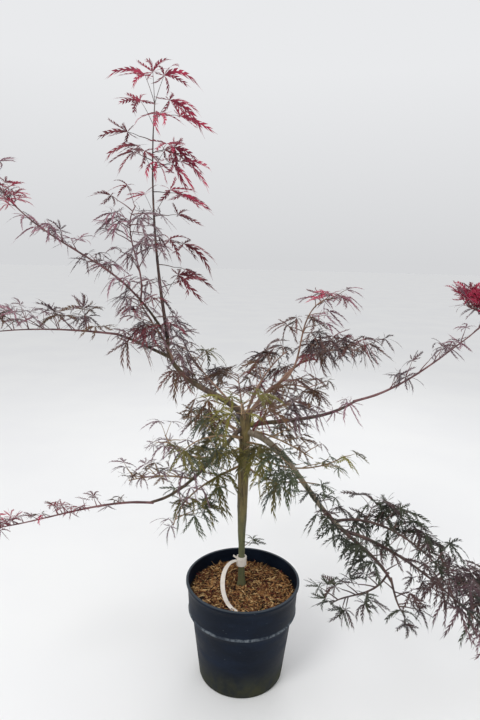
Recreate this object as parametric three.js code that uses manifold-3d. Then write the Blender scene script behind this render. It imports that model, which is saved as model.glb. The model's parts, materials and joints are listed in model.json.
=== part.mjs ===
// A young laceleaf maple in a round nursery pot: pot, growing medium, trunk, boughs, leafy shoots
// and a blank plant label. Millimetres, +Z up. The origin is the centre of the pot's flat underside.
import * as THREE from 'three';
import Module from 'manifold-3d';

const wasm = await Module();
wasm.setup();
const { Manifold, Mesh: SolidMesh } = wasm;

// ---- driving dimensions, mm and degrees ------------------------------------------------------

const FIT_GAP = 0.35;            // left between pieces that touch
const POT_HEIGHT = 261;
const POT_RIM_RADIUS = 144;
const POT_FOOT_RADIUS = 107;
const POT_WALL = 2.4;
const BAND_FOOT_HEIGHT = 182;    // where the wider upper band of the pot begins
const BAND_FOOT_RADIUS = 136;
const BAND_STEP = 7;             // how far the band stands out from the wall under it
const RIM_LIP_WIDTH = 3.5;
const RIM_LIP_HEIGHT = 7;
const POT_SIDES = 40;
const DRAIN_HOLE_COUNT = 6;
const DRAIN_HOLE_RADIUS = 7;
const DRAIN_CIRCLE_RADIUS = 78;
const MEDIUM_LEVEL = 230;        // top of the growing medium
const MEDIUM_EDGE_DIP = 4;

const TRUNK_FOOT = { x: -3, y: 14 };
const TRUNK_TOP_HEIGHT = 690;
const TRUNK_LEAN = 12;           // how far the top stands forward of the foot
const TRUNK_BOW = 3;
const TRUNK_RADIUS = 8;
const ROOT_FLARE = 4;
const FLARE_HEIGHT = 14;
const GRAFT_RADIUS = 13.2;       // the thicker grafted head of the trunk
const GRAFT_START = 90;          // height above the foot where the trunk begins to thicken
const GRAFT_END = 260;
const TRUNK_STEPS = 14;
const TRUNK_SIDES = 10;

const LIMB_STEPS = 8;
const BOUGH_SIDES = 6;
const STEM_SIDES = 4;

const STALK_SHARE = 0.38;        // length of a leaf's stalk, as a share of its middle lobe
const STALK_RADIUS = 0.8;
const LEAF_THICKNESS = 1.8;
const LOBE_ANGLES = [-104, -52, 0, 52, 104];
const LOBE_SHARES = [0.6, 0.88, 1, 0.88, 0.6];
const NOTCH_SHARE = 0.23;
const LEAF_BACK_ANGLE = 158;
const LEAF_BACK_SHARE = 0.05;
const LOBE_DROOP = 0.28;         // fall of a lobe's tip, as a share of its length
const ROOT_DEPTH = 3.5;          // how deep a leaf stalk starts inside its twig

const LIMB_CLEARANCE = 3;        // leaves and twigs stay this far from every other limb
const SPACE_MARGIN = 4;          // and this much nearer to their own stem than to any other stem
const LEAF_CLEARANCE = 5;        // between the leaves of one mass

const COLOURS = {
  pot: 0x2d3841,
  medium: 0x7a4f35,
  trunk: 0x6e6a42,
  bark: 0x6b5648,
  greyBark: 0x938676,
  crimson: 0x9c2c44,
  mauve: 0x6d4f5b,
  olive: 0x5b5a33,
  darkPurple: 0x4d3b42,
  greyGreen: 0x414a39,
  label: 0xe4e1d6,
};

// Each limb springs from `from` at the share `at` of its length and heads `heading` degrees round
// from +X. Along it the heading turns by `swing`, and its rise above level is given at its start,
// middle and end. `curl` is extra rise over the last fifth. `radius` is at its foot and its tip.
const BOUGHS = [
  { name: 'bough_leader', from: 'trunk', at: 0.99, heading: 172, swing: -14, rise: [47, 28, 102],
    length: 295, radius: [8.5, 5.2], bark: 'bark' },
  { name: 'bough_upper_left', from: 'bough_leader', at: 0.97, heading: 205, swing: 0,
    rise: [60, 55, 48], length: 123, radius: [3.6, 2.8], bark: 'bark' },
  { name: 'bough_left', from: 'bough_leader', at: 0.8, heading: 172, swing: 1, rise: [22, 22, 14],
    length: 151, radius: [4.2, 3.2], bark: 'bark' },
  { name: 'bough_lower_left', from: 'trunk', at: 0.955, heading: 208, swing: -8,
    rise: [-34, -42, -7], length: 289, radius: [5.5, 3.4], bark: 'bark' },
  { name: 'bough_upper_right', from: 'trunk', at: 0.985, heading: 38, swing: -3,
    rise: [39, 42, 13], length: 122, radius: [6.2, 4.6], bark: 'bark' },
  { name: 'bough_right', from: 'trunk', at: 0.95, heading: 8, swing: -4, rise: [12, 8, 36],
    length: 279, radius: [5.6, 3.6], bark: 'bark' },
  { name: 'bough_lower_right', from: 'trunk', at: 0.93, heading: -28, swing: -21,
    rise: [0, -41, -15], length: 329, radius: [8.2, 5.2], bark: 'greyBark' },
  { name: 'bough_drooping', from: 'bough_lower_right', at: 0.97, heading: -50, swing: -12,
    rise: [-23, -12, -37], length: 158, radius: [4.4, 3], bark: 'greyBark' },
];

// The masses of foliage. `sprays` is how many side twigs the stem bears, `twig` and `leaf` are
// their lengths, `hang` is how steeply the leaves hang, in degrees below their twig, and `lift`
// is extra rise for the twigs.
const MASSES = [
  { name: 'mass_leader', from: 'bough_leader', at: 1, heading: 158, swing: -10,
    rise: [79, 86, 96], length: 537, foot: 4.6, sprays: 8, twig: 34, leaf: 84, hang: 12,
    colour: 'crimson' },
  { name: 'mass_upper_left', from: 'bough_upper_left', at: 1, heading: 205, swing: 12,
    rise: [50, 31, 61], length: 391, foot: 2.6, sprays: 8, twig: 26, leaf: 46, hang: 12, lift: 10,
    colour: 'mauve' },
  { name: 'mass_left_high', from: 'bough_upper_left', at: 0.93, heading: 250, swing: -20,
    rise: [111, 68, 133], length: 225, foot: 2.4, sprays: 6, twig: 42, leaf: 64, hang: 25,
    colour: 'mauve' },
  { name: 'mass_left', from: 'bough_left', at: 1, heading: 173, swing: 12, rise: [4, -1, -10],
    length: 352, foot: 3, sprays: 8, twig: 50, leaf: 58, hang: 6, lift: 30, colour: 'mauve' },
  { name: 'mass_lower_left', from: 'bough_lower_left', at: 1, heading: 200, swing: -14,
    rise: [12, -10, -6], length: 356, foot: 3.1, sprays: 7, twig: 14, leaf: 30, hang: 6, lift: 10,
    colour: 'mauve' },
  { name: 'mass_left_short', from: 'trunk', at: 0.78, heading: 216, swing: -22,
    rise: [-13, -29, -81], length: 235, foot: 3.4, sprays: 7, twig: 44, leaf: 54, hang: 35,
    colour: 'olive' },
  { name: 'mass_left_middle', from: 'trunk', at: 0.86, heading: 210, swing: -15,
    rise: [-14, 8, 70], length: 225, foot: 3.2, sprays: 6, twig: 34, leaf: 48, hang: 30,
    colour: 'olive' },
  { name: 'mass_left_spray', from: 'trunk', at: 0.915, heading: 172, swing: -8,
    rise: [29, 13, -31], length: 166, foot: 2.8, sprays: 5, twig: 22, leaf: 42, hang: 30,
    colour: 'olive' },
  { name: 'mass_crown_left', from: 'trunk', at: 0.97, heading: 130, swing: 3, rise: [34, 26, 47],
    length: 304, foot: 3.6, sprays: 7, twig: 44, leaf: 62, hang: 25, colour: 'olive' },
  { name: 'mass_crown', from: 'trunk', at: 0.995, heading: 50, swing: -10, rise: [64, 46, 26],
    length: 205, foot: 3.6, sprays: 7, twig: 40, leaf: 58, hang: 25, colour: 'darkPurple' },
  { name: 'mass_upper_right', from: 'bough_upper_right', at: 1, heading: 30, swing: -7,
    rise: [47, 16, -15], length: 268, foot: 4, sprays: 8, twig: 54, leaf: 76, hang: 35,
    colour: 'darkPurple' },
  { name: 'mass_upper_right_top', from: 'bough_upper_right', at: 0.93, heading: 8, swing: 13,
    rise: [19, 80, -12], length: 287, foot: 3, sprays: 7, twig: 34, leaf: 52, hang: 25,
    colour: 'crimson' },
  { name: 'mass_upper_right_low', from: 'bough_upper_right', at: 0.7, heading: -10, swing: -14,
    rise: [36, 7, -28], length: 120, foot: 3, sprays: 5, twig: 34, leaf: 50, hang: 35,
    colour: 'darkPurple' },
  { name: 'mass_right', from: 'bough_right', at: 1, heading: 4, swing: -16, rise: [13, 40, 37],
    length: 425, curl: 170, foot: 3.3, sprays: 9, twig: 34, leaf: 50, hang: 12, lift: 25,
    colour: 'mauve' },
  { name: 'mass_lower_right', from: 'bough_lower_right', at: 1, heading: -24, swing: -4,
    rise: [-2, -26, -36], length: 318, foot: 4.4, sprays: 10, twig: 34, leaf: 54, hang: 35,
    colour: 'greyGreen' },
  { name: 'mass_lower_right_high', from: 'bough_lower_right', at: 0.91, heading: -2, swing: 3,
    rise: [16, -34, -42], length: 345, foot: 3.4, sprays: 9, twig: 40, leaf: 60, hang: 35,
    colour: 'greyGreen' },
  { name: 'mass_drooping_right', from: 'bough_drooping', at: 1, heading: -40, swing: 10,
    rise: [-70, -66, -40], length: 70, foot: 2.6, sprays: 4, twig: 24, leaf: 38, hang: 6,
    colour: 'darkPurple' },
  { name: 'mass_drooping_left', from: 'bough_drooping', at: 0.9, heading: 205, swing: 0,
    rise: [-60, 0, -20], length: 140, foot: 2.2, sprays: 5, twig: 28, leaf: 40, hang: 4,
    colour: 'mauve' },
  { name: 'mass_middle_right', from: 'trunk', at: 0.86, heading: -12, swing: -12,
    rise: [-40, 4, 39], length: 265, foot: 3.2, sprays: 7, twig: 34, leaf: 46, hang: 25,
    colour: 'olive' },
  { name: 'mass_middle_right_low', from: 'trunk', at: 0.79, heading: -44, swing: -2,
    rise: [-36, 12, 10], length: 230, foot: 3, sprays: 6, twig: 34, leaf: 50, hang: 30,
    colour: 'greyGreen' },
  { name: 'mass_back', from: 'trunk', at: 0.91, heading: 98, swing: -6, rise: [40, 14, -4],
    length: 330, foot: 3.6, sprays: 7, twig: 52, leaf: 72, hang: 30, colour: 'olive' },
  { name: 'mass_back_left', from: 'trunk', at: 0.84, heading: 104, swing: 4, rise: [16, -4, -24],
    length: 300, foot: 3.8, sprays: 8, twig: 46, leaf: 62, hang: 35, colour: 'olive' },
  { name: 'mass_back_right', from: 'trunk', at: 0.87, heading: 68, swing: -8, rise: [26, 6, -20],
    length: 310, foot: 3.8, sprays: 7, twig: 52, leaf: 70, hang: 35, colour: 'darkPurple' },
  { name: 'mass_front', from: 'trunk', at: 0.965, heading: 262, swing: 10, rise: [50, 25, -20],
    length: 210, foot: 3.4, sprays: 6, twig: 44, leaf: 60, hang: 30, colour: 'olive' },
  { name: 'mass_front_left', from: 'trunk', at: 0.9, heading: 236, swing: -8, rise: [15, 12, -25],
    length: 215, foot: 3.4, sprays: 6, twig: 42, leaf: 54, hang: 35, colour: 'olive' },
  { name: 'mass_front_right', from: 'trunk', at: 0.88, heading: 300, swing: 8, rise: [14, 0, -40],
    length: 215, foot: 3.2, sprays: 7, twig: 42, leaf: 58, hang: 30, colour: 'olive' },
  { name: 'mass_left_inner', from: 'bough_leader', at: 0.76, heading: 204, swing: -6,
    rise: [78, 56, 74], length: 190, foot: 3, sprays: 7, twig: 30, leaf: 48, hang: 20,
    colour: 'mauve' },
  { name: 'mass_lower_left_spray', from: 'bough_lower_left', at: 0.62, heading: 200, swing: -14,
    rise: [20, 2, -14], length: 150, foot: 2.6, sprays: 5, twig: 30, leaf: 46, hang: 15, lift: 5,
    colour: 'mauve' },
  { name: 'mass_right_inner', from: 'trunk', at: 0.935, heading: -24, swing: 2,
    rise: [4, -16, -24], length: 180, foot: 3, sprays: 5, twig: 36, leaf: 50, hang: 30,
    colour: 'olive' },
];

const STEM_TIP_RADIUS = 2.1;
const TWIG_RADIUS = 1.5;
const STEM_BARE_SHARE = 0.16;    // the foot of each leafy stem bears no twigs
const STEEP_SINE = 0.8;          // a stem that climbs more than this bears its twigs left and right
const STEEP_FACING = 90;         // the heading from which they turn; on other stems it is the stem's
const STEEP_SPREAD = [60, 125];
const LEVEL_SPREAD = [32, 70];
const LOWEST_TWIG_RISE = -8;
const TWIG_RISE_RANGE = 42;
const SECOND_LEAF_TURN = 85;     // between a twig and the leaf at its middle
const STEEP_TIP_TURNS = [-90, 90, 180];
const STEEP_TIP_RISE = 70;
const STEEP_TIP_STALK = 2;       // how much longer than others the stalks of a steep tip's leaves are
const LEVEL_TIP_TURNS = [-60, 0, 60];
const LEVEL_TIP_RISE = 10;
const TWIG_TRIES = 8;
const LEAF_TRIES = 4;
const SHRINK_PER_TRY = 0.86;

const LABEL_HEIGHT = 300;        // of the label's collar round the trunk
const LABEL_COLLAR_TALL = 20;
const LABEL_COLLAR_WALL = 3.4;
const LABEL_STRAP_WIDTH = 11;
const LABEL_STRAP_THICKNESS = 1.2;
const LABEL_STRAP_STEPS = 12;
const LABEL_STRAP_SINK = 1;       // of the strap's root in the collar
const LABEL_STRAP_ARCH = 4;       // of the strap above its root
const LABEL_STRAP_LANDING = 26;   // the stretch over which it comes down flat
const LABEL_TAB_LENGTH = 15;
const LABEL_TAB_WIDTH = 8;
const LABEL_TAB_TILT = 35;
const LABEL_TAB_SINK = 3;
const LABEL_TAB_RISE = 8;         // of the tab's middle above the collar's
const LABEL_STRAP_REACH = { x: -10, y: -98 };   // where the strap's tip rests on the medium
const LABEL_STRAP_BULGE = -62;                  // how far the strap bows out to the left

// ---- numbers, directions and solids ----------------------------------------------------------

const UP = new THREE.Vector3(0, 0, 1);
const radians = THREE.MathUtils.degToRad;

// A number from 0 to 1 that depends only on its whole-number keys.
function chance(...keys) {
  let h = 0x9e3779b9;
  for (const key of keys) {
    h = Math.imul(h ^ key, 0x85ebca6b);
    h ^= h >>> 13;
    h = Math.imul(h, 0xc2b2ae35);
    h ^= h >>> 16;
  }
  return (h >>> 0) / 4294967296;
}

function direction(heading, rise) {
  const [a, b] = [radians(heading), radians(rise)];
  return new THREE.Vector3(Math.cos(a) * Math.cos(b), Math.sin(a) * Math.cos(b), Math.sin(b));
}

function solid(positions, triangles) {
  return new Manifold(new SolidMesh({
    numProp: 3,
    vertProperties: new Float32Array(positions),
    triVerts: new Uint32Array(triangles),
  }));
}

function solidOfGeometry(geometry) {
  const positions = [];
  const triangles = [];
  const seen = new Map();
  const point = new THREE.Vector3();
  const source = geometry.getAttribute('position');
  const corners = geometry.index ? [...geometry.index.array] : [...Array(source.count).keys()];
  for (const corner of corners) {
    point.fromBufferAttribute(source, corner);
    const key = point.toArray().map((value) => Math.round(value * 1000)).join();
    if (!seen.has(key)) {
      seen.set(key, seen.size);
      positions.push(...point.toArray());
    }
    triangles.push(seen.get(key));
  }
  const whole = [];
  for (let i = 0; i < triangles.length; i += 3) {
    const [a, b, c] = triangles.slice(i, i + 3);
    if (a !== b && b !== c && c !== a) whole.push(a, b, c);
  }
  return solid(positions, whole);
}

function largestPiece(shape) {
  const pieces = shape.decompose();
  return pieces.reduce((best, piece) => (piece.volume() > best.volume() ? piece : best));
}

function geometryOf(shape) {
  const { vertProperties, triVerts } = shape.getMesh();
  const geometry = new THREE.BufferGeometry();
  geometry.setAttribute('position', new THREE.BufferAttribute(new Float32Array(vertProperties), 3));
  geometry.setIndex([...triVerts]);
  geometry.computeVertexNormals();
  return geometry;
}

// ---- limbs ------------------------------------------------------------------------------------

// Points along a limb, a step at a time, from its heading and rise at each step's middle.
function limbPoints({ heading, swing, rise, length, curl = 0 }, start) {
  const [low, middle, high] = rise;
  const points = [start.clone()];
  for (let i = 0; i < LIMB_STEPS; i += 1) {
    const t = (i + 0.5) / LIMB_STEPS;
    const bend = low * (1 - t) * (1 - 2 * t) + middle * 4 * t * (1 - t) + high * t * (2 * t - 1);
    const tipCurl = curl * Math.max(0, (t - 0.8) / 0.2);
    const step = direction(heading + swing * t, bend + tipCurl);
    points.push(points[i].clone().addScaledVector(step, length / LIMB_STEPS));
  }
  return points;
}

function trunkPoints() {
  const points = [];
  const foot = MEDIUM_LEVEL + FIT_GAP;
  for (let i = 0; i <= TRUNK_STEPS; i += 1) {
    const share = (i / TRUNK_STEPS) ** 1.3;
    points.push(new THREE.Vector3(
      TRUNK_FOOT.x - TRUNK_BOW * Math.sin(Math.PI * share),
      TRUNK_FOOT.y - TRUNK_LEAN * share,
      foot + (TRUNK_TOP_HEIGHT - foot) * share,
    ));
  }
  return points;
}

function trunkRadius(height) {
  const flare = ROOT_FLARE * Math.exp(-height / FLARE_HEIGHT);
  const swelling = THREE.MathUtils.smoothstep(height, GRAFT_START, GRAFT_END);
  return TRUNK_RADIUS + flare + (GRAFT_RADIUS - TRUNK_RADIUS) * swelling;
}

function pointAt(points, share) {
  const place = share * (points.length - 1);
  const i = Math.min(Math.floor(place), points.length - 2);
  return points[i].clone().lerp(points[i + 1], place - i);
}

// A closed body through rings of corners, each ring counter-clockwise seen from the next.
function loft(rings) {
  const sides = rings[0].length;
  const triangles = [];
  for (let i = 0; i + 1 < rings.length; i += 1) {
    for (let k = 0; k < sides; k += 1) {
      const [a, b] = [i * sides + k, i * sides + ((k + 1) % sides)];
      triangles.push(a, b, b + sides, a, b + sides, a + sides);
    }
  }
  const last = (rings.length - 1) * sides;
  for (let k = 1; k + 1 < sides; k += 1) {
    triangles.push(0, k + 1, k);
    triangles.push(last, last + k, last + k + 1);
  }
  return solid(rings.flat().flatMap((corner) => corner.toArray()), triangles);
}

function directionsAlong(points) {
  return points.map((_, i) => {
    const before = points[Math.max(i - 1, 0)];
    const after = points[Math.min(i + 1, points.length - 1)];
    return after.clone().sub(before).normalize();
  });
}

// A tube round the points with its own radius at each.
function tube(points, radii, sides, levelEnds = false) {
  let across = null;
  return loft(directionsAlong(points).map((onward, i) => {
    const along = levelEnds ? UP : onward;
    if (!across) {
      const guide = Math.abs(along.z) > 0.9 ? new THREE.Vector3(1, 0, 0) : UP;
      across = guide.clone().cross(along);
    }
    across.addScaledVector(along, -across.dot(along)).normalize();
    const other = along.clone().cross(across);
    return Array.from({ length: sides }, (_, k) => {
      const turn = (2 * Math.PI * k) / sides;
      return points[i].clone()
        .addScaledVector(across, radii[i] * Math.cos(turn))
        .addScaledVector(other, radii[i] * Math.sin(turn));
    });
  }));
}

// A flat strip along the points whose width lies level.
function ribbon(points, width, thickness) {
  return loft(directionsAlong(points).map((onward, i) => {
    const side = UP.clone().cross(onward).normalize().multiplyScalar(width / 2);
    const normal = onward.clone().cross(side).normalize().multiplyScalar(thickness / 2);
    return [[1, 1], [-1, 1], [-1, -1], [1, -1]].map(([a, b]) => (
      points[i].clone().addScaledVector(side, a).addScaledVector(normal, b)
    ));
  }));
}

function taper(count, [foot, tip]) {
  return Array.from({ length: count }, (_, i) => foot + (tip - foot) * (i / (count - 1)));
}

// The same limb a little larger all round, to cut its neighbours clear of it.
function clearanceOf(limb) {
  const points = limb.points.map((point) => point.clone());
  const [first, second] = points;
  const [beforeLast, last] = points.slice(-2);
  first.addScaledVector(first.clone().sub(second).normalize(), FIT_GAP);
  last.addScaledVector(last.clone().sub(beforeLast).normalize(), FIT_GAP);
  const radii = limb.radii.map((radius) => radius + FIT_GAP / Math.cos(Math.PI / limb.sides));
  return tube(points, radii, limb.sides, limb.levelEnds);
}

function distanceToLimb(point, limb) {
  let nearest = Infinity;
  const onLine = new THREE.Vector3();
  for (let i = 0; i + 1 < limb.points.length; i += 1) {
    const line = new THREE.Line3(limb.points[i], limb.points[i + 1]);
    line.closestPointToPoint(point, true, onLine);
    nearest = Math.min(nearest, onLine.distanceTo(point) - limb.radii[i]);
  }
  return nearest;
}

// ---- one mass of foliage ----------------------------------------------------------------------

// A leaf of five pointed lobes at the end of a four-cornered stalk. `root` is where the stalk
// starts, inside what bears it, and the lobes fall away from the stalk's end.
function leafPlan(root, heading, rise, stalkLength, length, hang) {
  const centre = root.clone().addScaledVector(direction(heading, rise), stalkLength);
  const forward = direction(heading, rise - hang);
  const side = UP.clone().cross(forward).normalize();
  const normal = forward.clone().cross(side);
  const outline = (angle, share) => {
    const reach = length * share;
    return centre.clone()
      .addScaledVector(forward, reach * Math.cos(radians(angle)))
      .addScaledVector(side, reach * Math.sin(radians(angle)))
      .addScaledVector(UP, -LOBE_DROOP * reach * share);
  };
  const tips = LOBE_ANGLES.map((angle, i) => outline(angle, LOBE_SHARES[i]));
  const ring = [outline(-LEAF_BACK_ANGLE, LEAF_BACK_SHARE)];
  tips.forEach((tip, i) => {
    if (i > 0) ring.push(outline((LOBE_ANGLES[i - 1] + LOBE_ANGLES[i]) / 2, NOTCH_SHARE));
    ring.push(tip);
  });
  ring.push(outline(LEAF_BACK_ANGLE, LEAF_BACK_SHARE));
  const along = (share) => tips.map((tip) => centre.clone().lerp(tip, share));
  const halfway = root.clone().lerp(centre, 0.6);
  const reach = [...tips, ...along(0.67), ...along(0.33), centre, halfway];
  const ribs = [...tips, root].map((end) => new THREE.Line3(centre, end));
  return { root, centre, side, normal, ring, reach, ribs };
}

function leafSolid({ root, centre, side, normal, ring, stalkRadius }) {
  const top = centre.clone().addScaledVector(normal, LEAF_THICKNESS / 2);
  const bottom = centre.clone().addScaledVector(normal, -LEAF_THICKNESS / 2);
  const foot = [
    root.clone().addScaledVector(normal, stalkRadius),
    root.clone().addScaledVector(side, -stalkRadius),
    root.clone().addScaledVector(normal, -stalkRadius),
    root.clone().addScaledVector(side, stalkRadius),
  ];
  const points = [...ring, top, bottom, ...foot];
  const [first, last] = [0, ring.length - 1];
  const [high, low] = [ring.length, ring.length + 1];
  const [footTop, footRight, footLow, footLeft] = [0, 1, 2, 3].map((i) => ring.length + 2 + i);
  const triangles = [];
  for (let i = 0; i < last; i += 1) {
    triangles.push(high, i, i + 1, low, i + 1, i);
  }
  const sides = [
    [first, high, footTop, footRight],
    [low, first, footRight, footLow],
    [high, last, footLeft, footTop],
    [last, low, footLow, footLeft],
    [footRight, footTop, footLeft, footLow],
  ];
  for (const [a, b, c, d] of sides) {
    triangles.push(a, b, c, a, c, d);
  }
  return solid(points.flatMap((point) => point.toArray()), triangles);
}

// True where every point keeps to the mass's own space: clear of the limbs, and nearer to its
// own stem than to the stem of any other mass.
function staysInSpace(points, own, stems, limbs) {
  return points.every((point) => {
    if (limbs.some((limb) => distanceToLimb(point, limb) < LIMB_CLEARANCE)) return false;
    const reach = distanceToLimb(point, own) + SPACE_MARGIN;
    return stems.every((stem) => stem === own || distanceToLimb(point, stem) > reach);
  });
}

// True where the leaf keeps clear of the ribs and stalks of the others.
function clearOfLeaves(plan, leaves) {
  const onRib = new THREE.Vector3();
  return leaves.every((leaf) => leaf.ribs.every((rib) => plan.reach.every((point) => {
    rib.closestPointToPoint(point, true, onRib);
    return onRib.distanceTo(point) > LEAF_CLEARANCE;
  })));
}

// Adds a leaf to `leaves` if one fits, smaller at each try, and returns it.
function growLeaf(leaves, fits, { root, heading, rise, stalk, stalkRadius, length, hang }) {
  for (let attempt = 0; attempt < LEAF_TRIES; attempt += 1) {
    const size = length * SHRINK_PER_TRY ** attempt;
    const plan = leafPlan(root, heading, rise, stalk, size, hang);
    if (fits(plan.reach) && clearOfLeaves(plan, leaves)) {
      leaves.push({ ...plan, stalkRadius });
      return plan;
    }
  }
  return null;
}

function headingOf(vector) {
  return THREE.MathUtils.radToDeg(Math.atan2(vector.y, vector.x));
}

// One side twig at the share `t` of the stem, drawn from the keys: it ends in a leaf and bears
// another at its middle.
function growSpray(leaves, fits, mass, own, t, keys) {
  const foot = pointAt(own.points, t);
  const ahead = pointAt(own.points, Math.min(t + 0.05, 1)).sub(pointAt(own.points, t - 0.05)).normalize();
  const steep = Math.abs(ahead.z) > STEEP_SINE;
  const [near, far] = steep ? STEEP_SPREAD : LEVEL_SPREAD;
  const facing = steep ? STEEP_FACING : headingOf(ahead);
  const hand = keys.reduce((sum, key) => sum + key, 0) % 2 ? 1 : -1;
  const heading = facing + hand * (near + (far - near) * chance(...keys, 1));
  const rise = LOWEST_TWIG_RISE + (mass.lift ?? 0) + TWIG_RISE_RANGE * chance(...keys, 2);
  const length = mass.twig * (0.75 + 0.5 * chance(...keys, 3));
  const leaf = mass.leaf * (0.85 + 0.3 * chance(...keys, 4));
  const twig = { root: foot, heading, rise, length: leaf, hang: mass.hang };
  const stalk = length + leaf * STALK_SHARE;
  const end = growLeaf(leaves, fits, { ...twig, stalk, stalkRadius: TWIG_RADIUS });
  if (!end) return false;
  const root = foot.clone().lerp(end.centre, length / stalk);
  const side = { root, stalk: leaf * STALK_SHARE, stalkRadius: STALK_RADIUS, hang: mass.hang };
  growLeaf(leaves, fits, { ...side, heading: heading + hand * SECOND_LEAF_TURN, rise, length: leaf });
  return true;
}

// Side twigs leave the stem by turns to its left and right, and the stem itself ends in three
// leaves.
function foliageParts(mass, seed, own, fits) {
  const leaves = [];
  const [beforeLast, tip] = own.points.slice(-2);
  const onward = tip.clone().sub(beforeLast).normalize();
  const steep = onward.z > STEEP_SINE;
  const facing = steep ? STEEP_FACING : headingOf(onward);
  for (const turn of steep ? STEEP_TIP_TURNS : LEVEL_TIP_TURNS) {
    growLeaf(leaves, fits, {
      root: tip.clone().addScaledVector(onward, -ROOT_DEPTH),
      heading: facing + turn,
      rise: steep ? STEEP_TIP_RISE : LEVEL_TIP_RISE,
      stalk: mass.leaf * STALK_SHARE * (steep ? STEEP_TIP_STALK : 1),
      stalkRadius: STALK_RADIUS,
      length: mass.leaf,
      hang: mass.hang + (steep ? STEEP_TIP_RISE / 2 : 0),
    });
  }
  for (let k = 0; k < mass.sprays; k += 1) {
    const t = STEM_BARE_SHARE + (1 - STEM_BARE_SHARE) * ((k + 0.5) / mass.sprays);
    let attempt = 0;
    while (attempt < TWIG_TRIES && !growSpray(leaves, fits, mass, own, t, [seed, k, attempt])) {
      attempt += 1;
    }
  }
  return leaves.map(leafSolid);
}

// ---- pot, growing medium and label ------------------------------------------------------------

function lathe(profile, sides) {
  const points = profile.map(([radius, height]) => new THREE.Vector2(radius, height));
  const geometry = new THREE.LatheGeometry(points, sides);
  geometry.rotateX(Math.PI / 2);
  return solidOfGeometry(geometry);
}

function wallRadius(height) {
  const bandFoot = BAND_FOOT_HEIGHT;
  if (height >= bandFoot) {
    const share = (height - bandFoot) / (POT_HEIGHT - bandFoot);
    return BAND_FOOT_RADIUS + (POT_RIM_RADIUS - RIM_LIP_WIDTH - BAND_FOOT_RADIUS) * share;
  }
  const share = height / bandFoot;
  return POT_FOOT_RADIUS + (BAND_FOOT_RADIUS - BAND_STEP - POT_FOOT_RADIUS) * share;
}

function potSolid() {
  const ledge = BAND_FOOT_HEIGHT;
  const lipFoot = POT_HEIGHT - RIM_LIP_HEIGHT;
  const outside = [
    [0, 0],
    [POT_FOOT_RADIUS - 3, 0],
    [POT_FOOT_RADIUS, 4],
    [wallRadius(ledge - 6), ledge - 6],
    [BAND_FOOT_RADIUS + 1.2, ledge],
    [wallRadius(ledge + 5), ledge + 5],
    [wallRadius(lipFoot), lipFoot],
    [POT_RIM_RADIUS, lipFoot],
    [POT_RIM_RADIUS, POT_HEIGHT],
  ];
  const inside = [
    [wallRadius(POT_HEIGHT) - POT_WALL, POT_HEIGHT],
    [wallRadius(ledge + 5) - POT_WALL, ledge + 5],
    [wallRadius(ledge - 6) - POT_WALL, ledge - 6],
    [POT_FOOT_RADIUS - POT_WALL, POT_WALL + 1],
    [0, POT_WALL + 1],
  ];
  let pot = lathe([...outside, ...inside], POT_SIDES);
  for (let i = 0; i < DRAIN_HOLE_COUNT; i += 1) {
    const turn = (2 * Math.PI * (i + 0.5)) / DRAIN_HOLE_COUNT;
    const hole = new THREE.CylinderGeometry(DRAIN_HOLE_RADIUS, DRAIN_HOLE_RADIUS, 4 * POT_WALL, 10);
    hole.rotateX(Math.PI / 2);
    hole.translate(DRAIN_CIRCLE_RADIUS * Math.cos(turn), DRAIN_CIRCLE_RADIUS * Math.sin(turn), 0);
    pot = pot.subtract(solidOfGeometry(hole));
  }
  return pot;
}

function mediumSolid() {
  const floor = POT_WALL + 1 + FIT_GAP;
  const inner = (height) => wallRadius(height) - POT_WALL - FIT_GAP;
  const ledge = BAND_FOOT_HEIGHT;
  const edge = MEDIUM_LEVEL - MEDIUM_EDGE_DIP;
  return lathe([
    [0, floor],
    [POT_FOOT_RADIUS - POT_WALL - FIT_GAP, floor],
    [inner(ledge - 6), ledge - 6],
    [inner(ledge + 5), ledge + 5],
    [inner(edge), edge],
    [inner(edge) * 0.8, MEDIUM_LEVEL],
    [0, MEDIUM_LEVEL],
  ], POT_SIDES);
}

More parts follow.
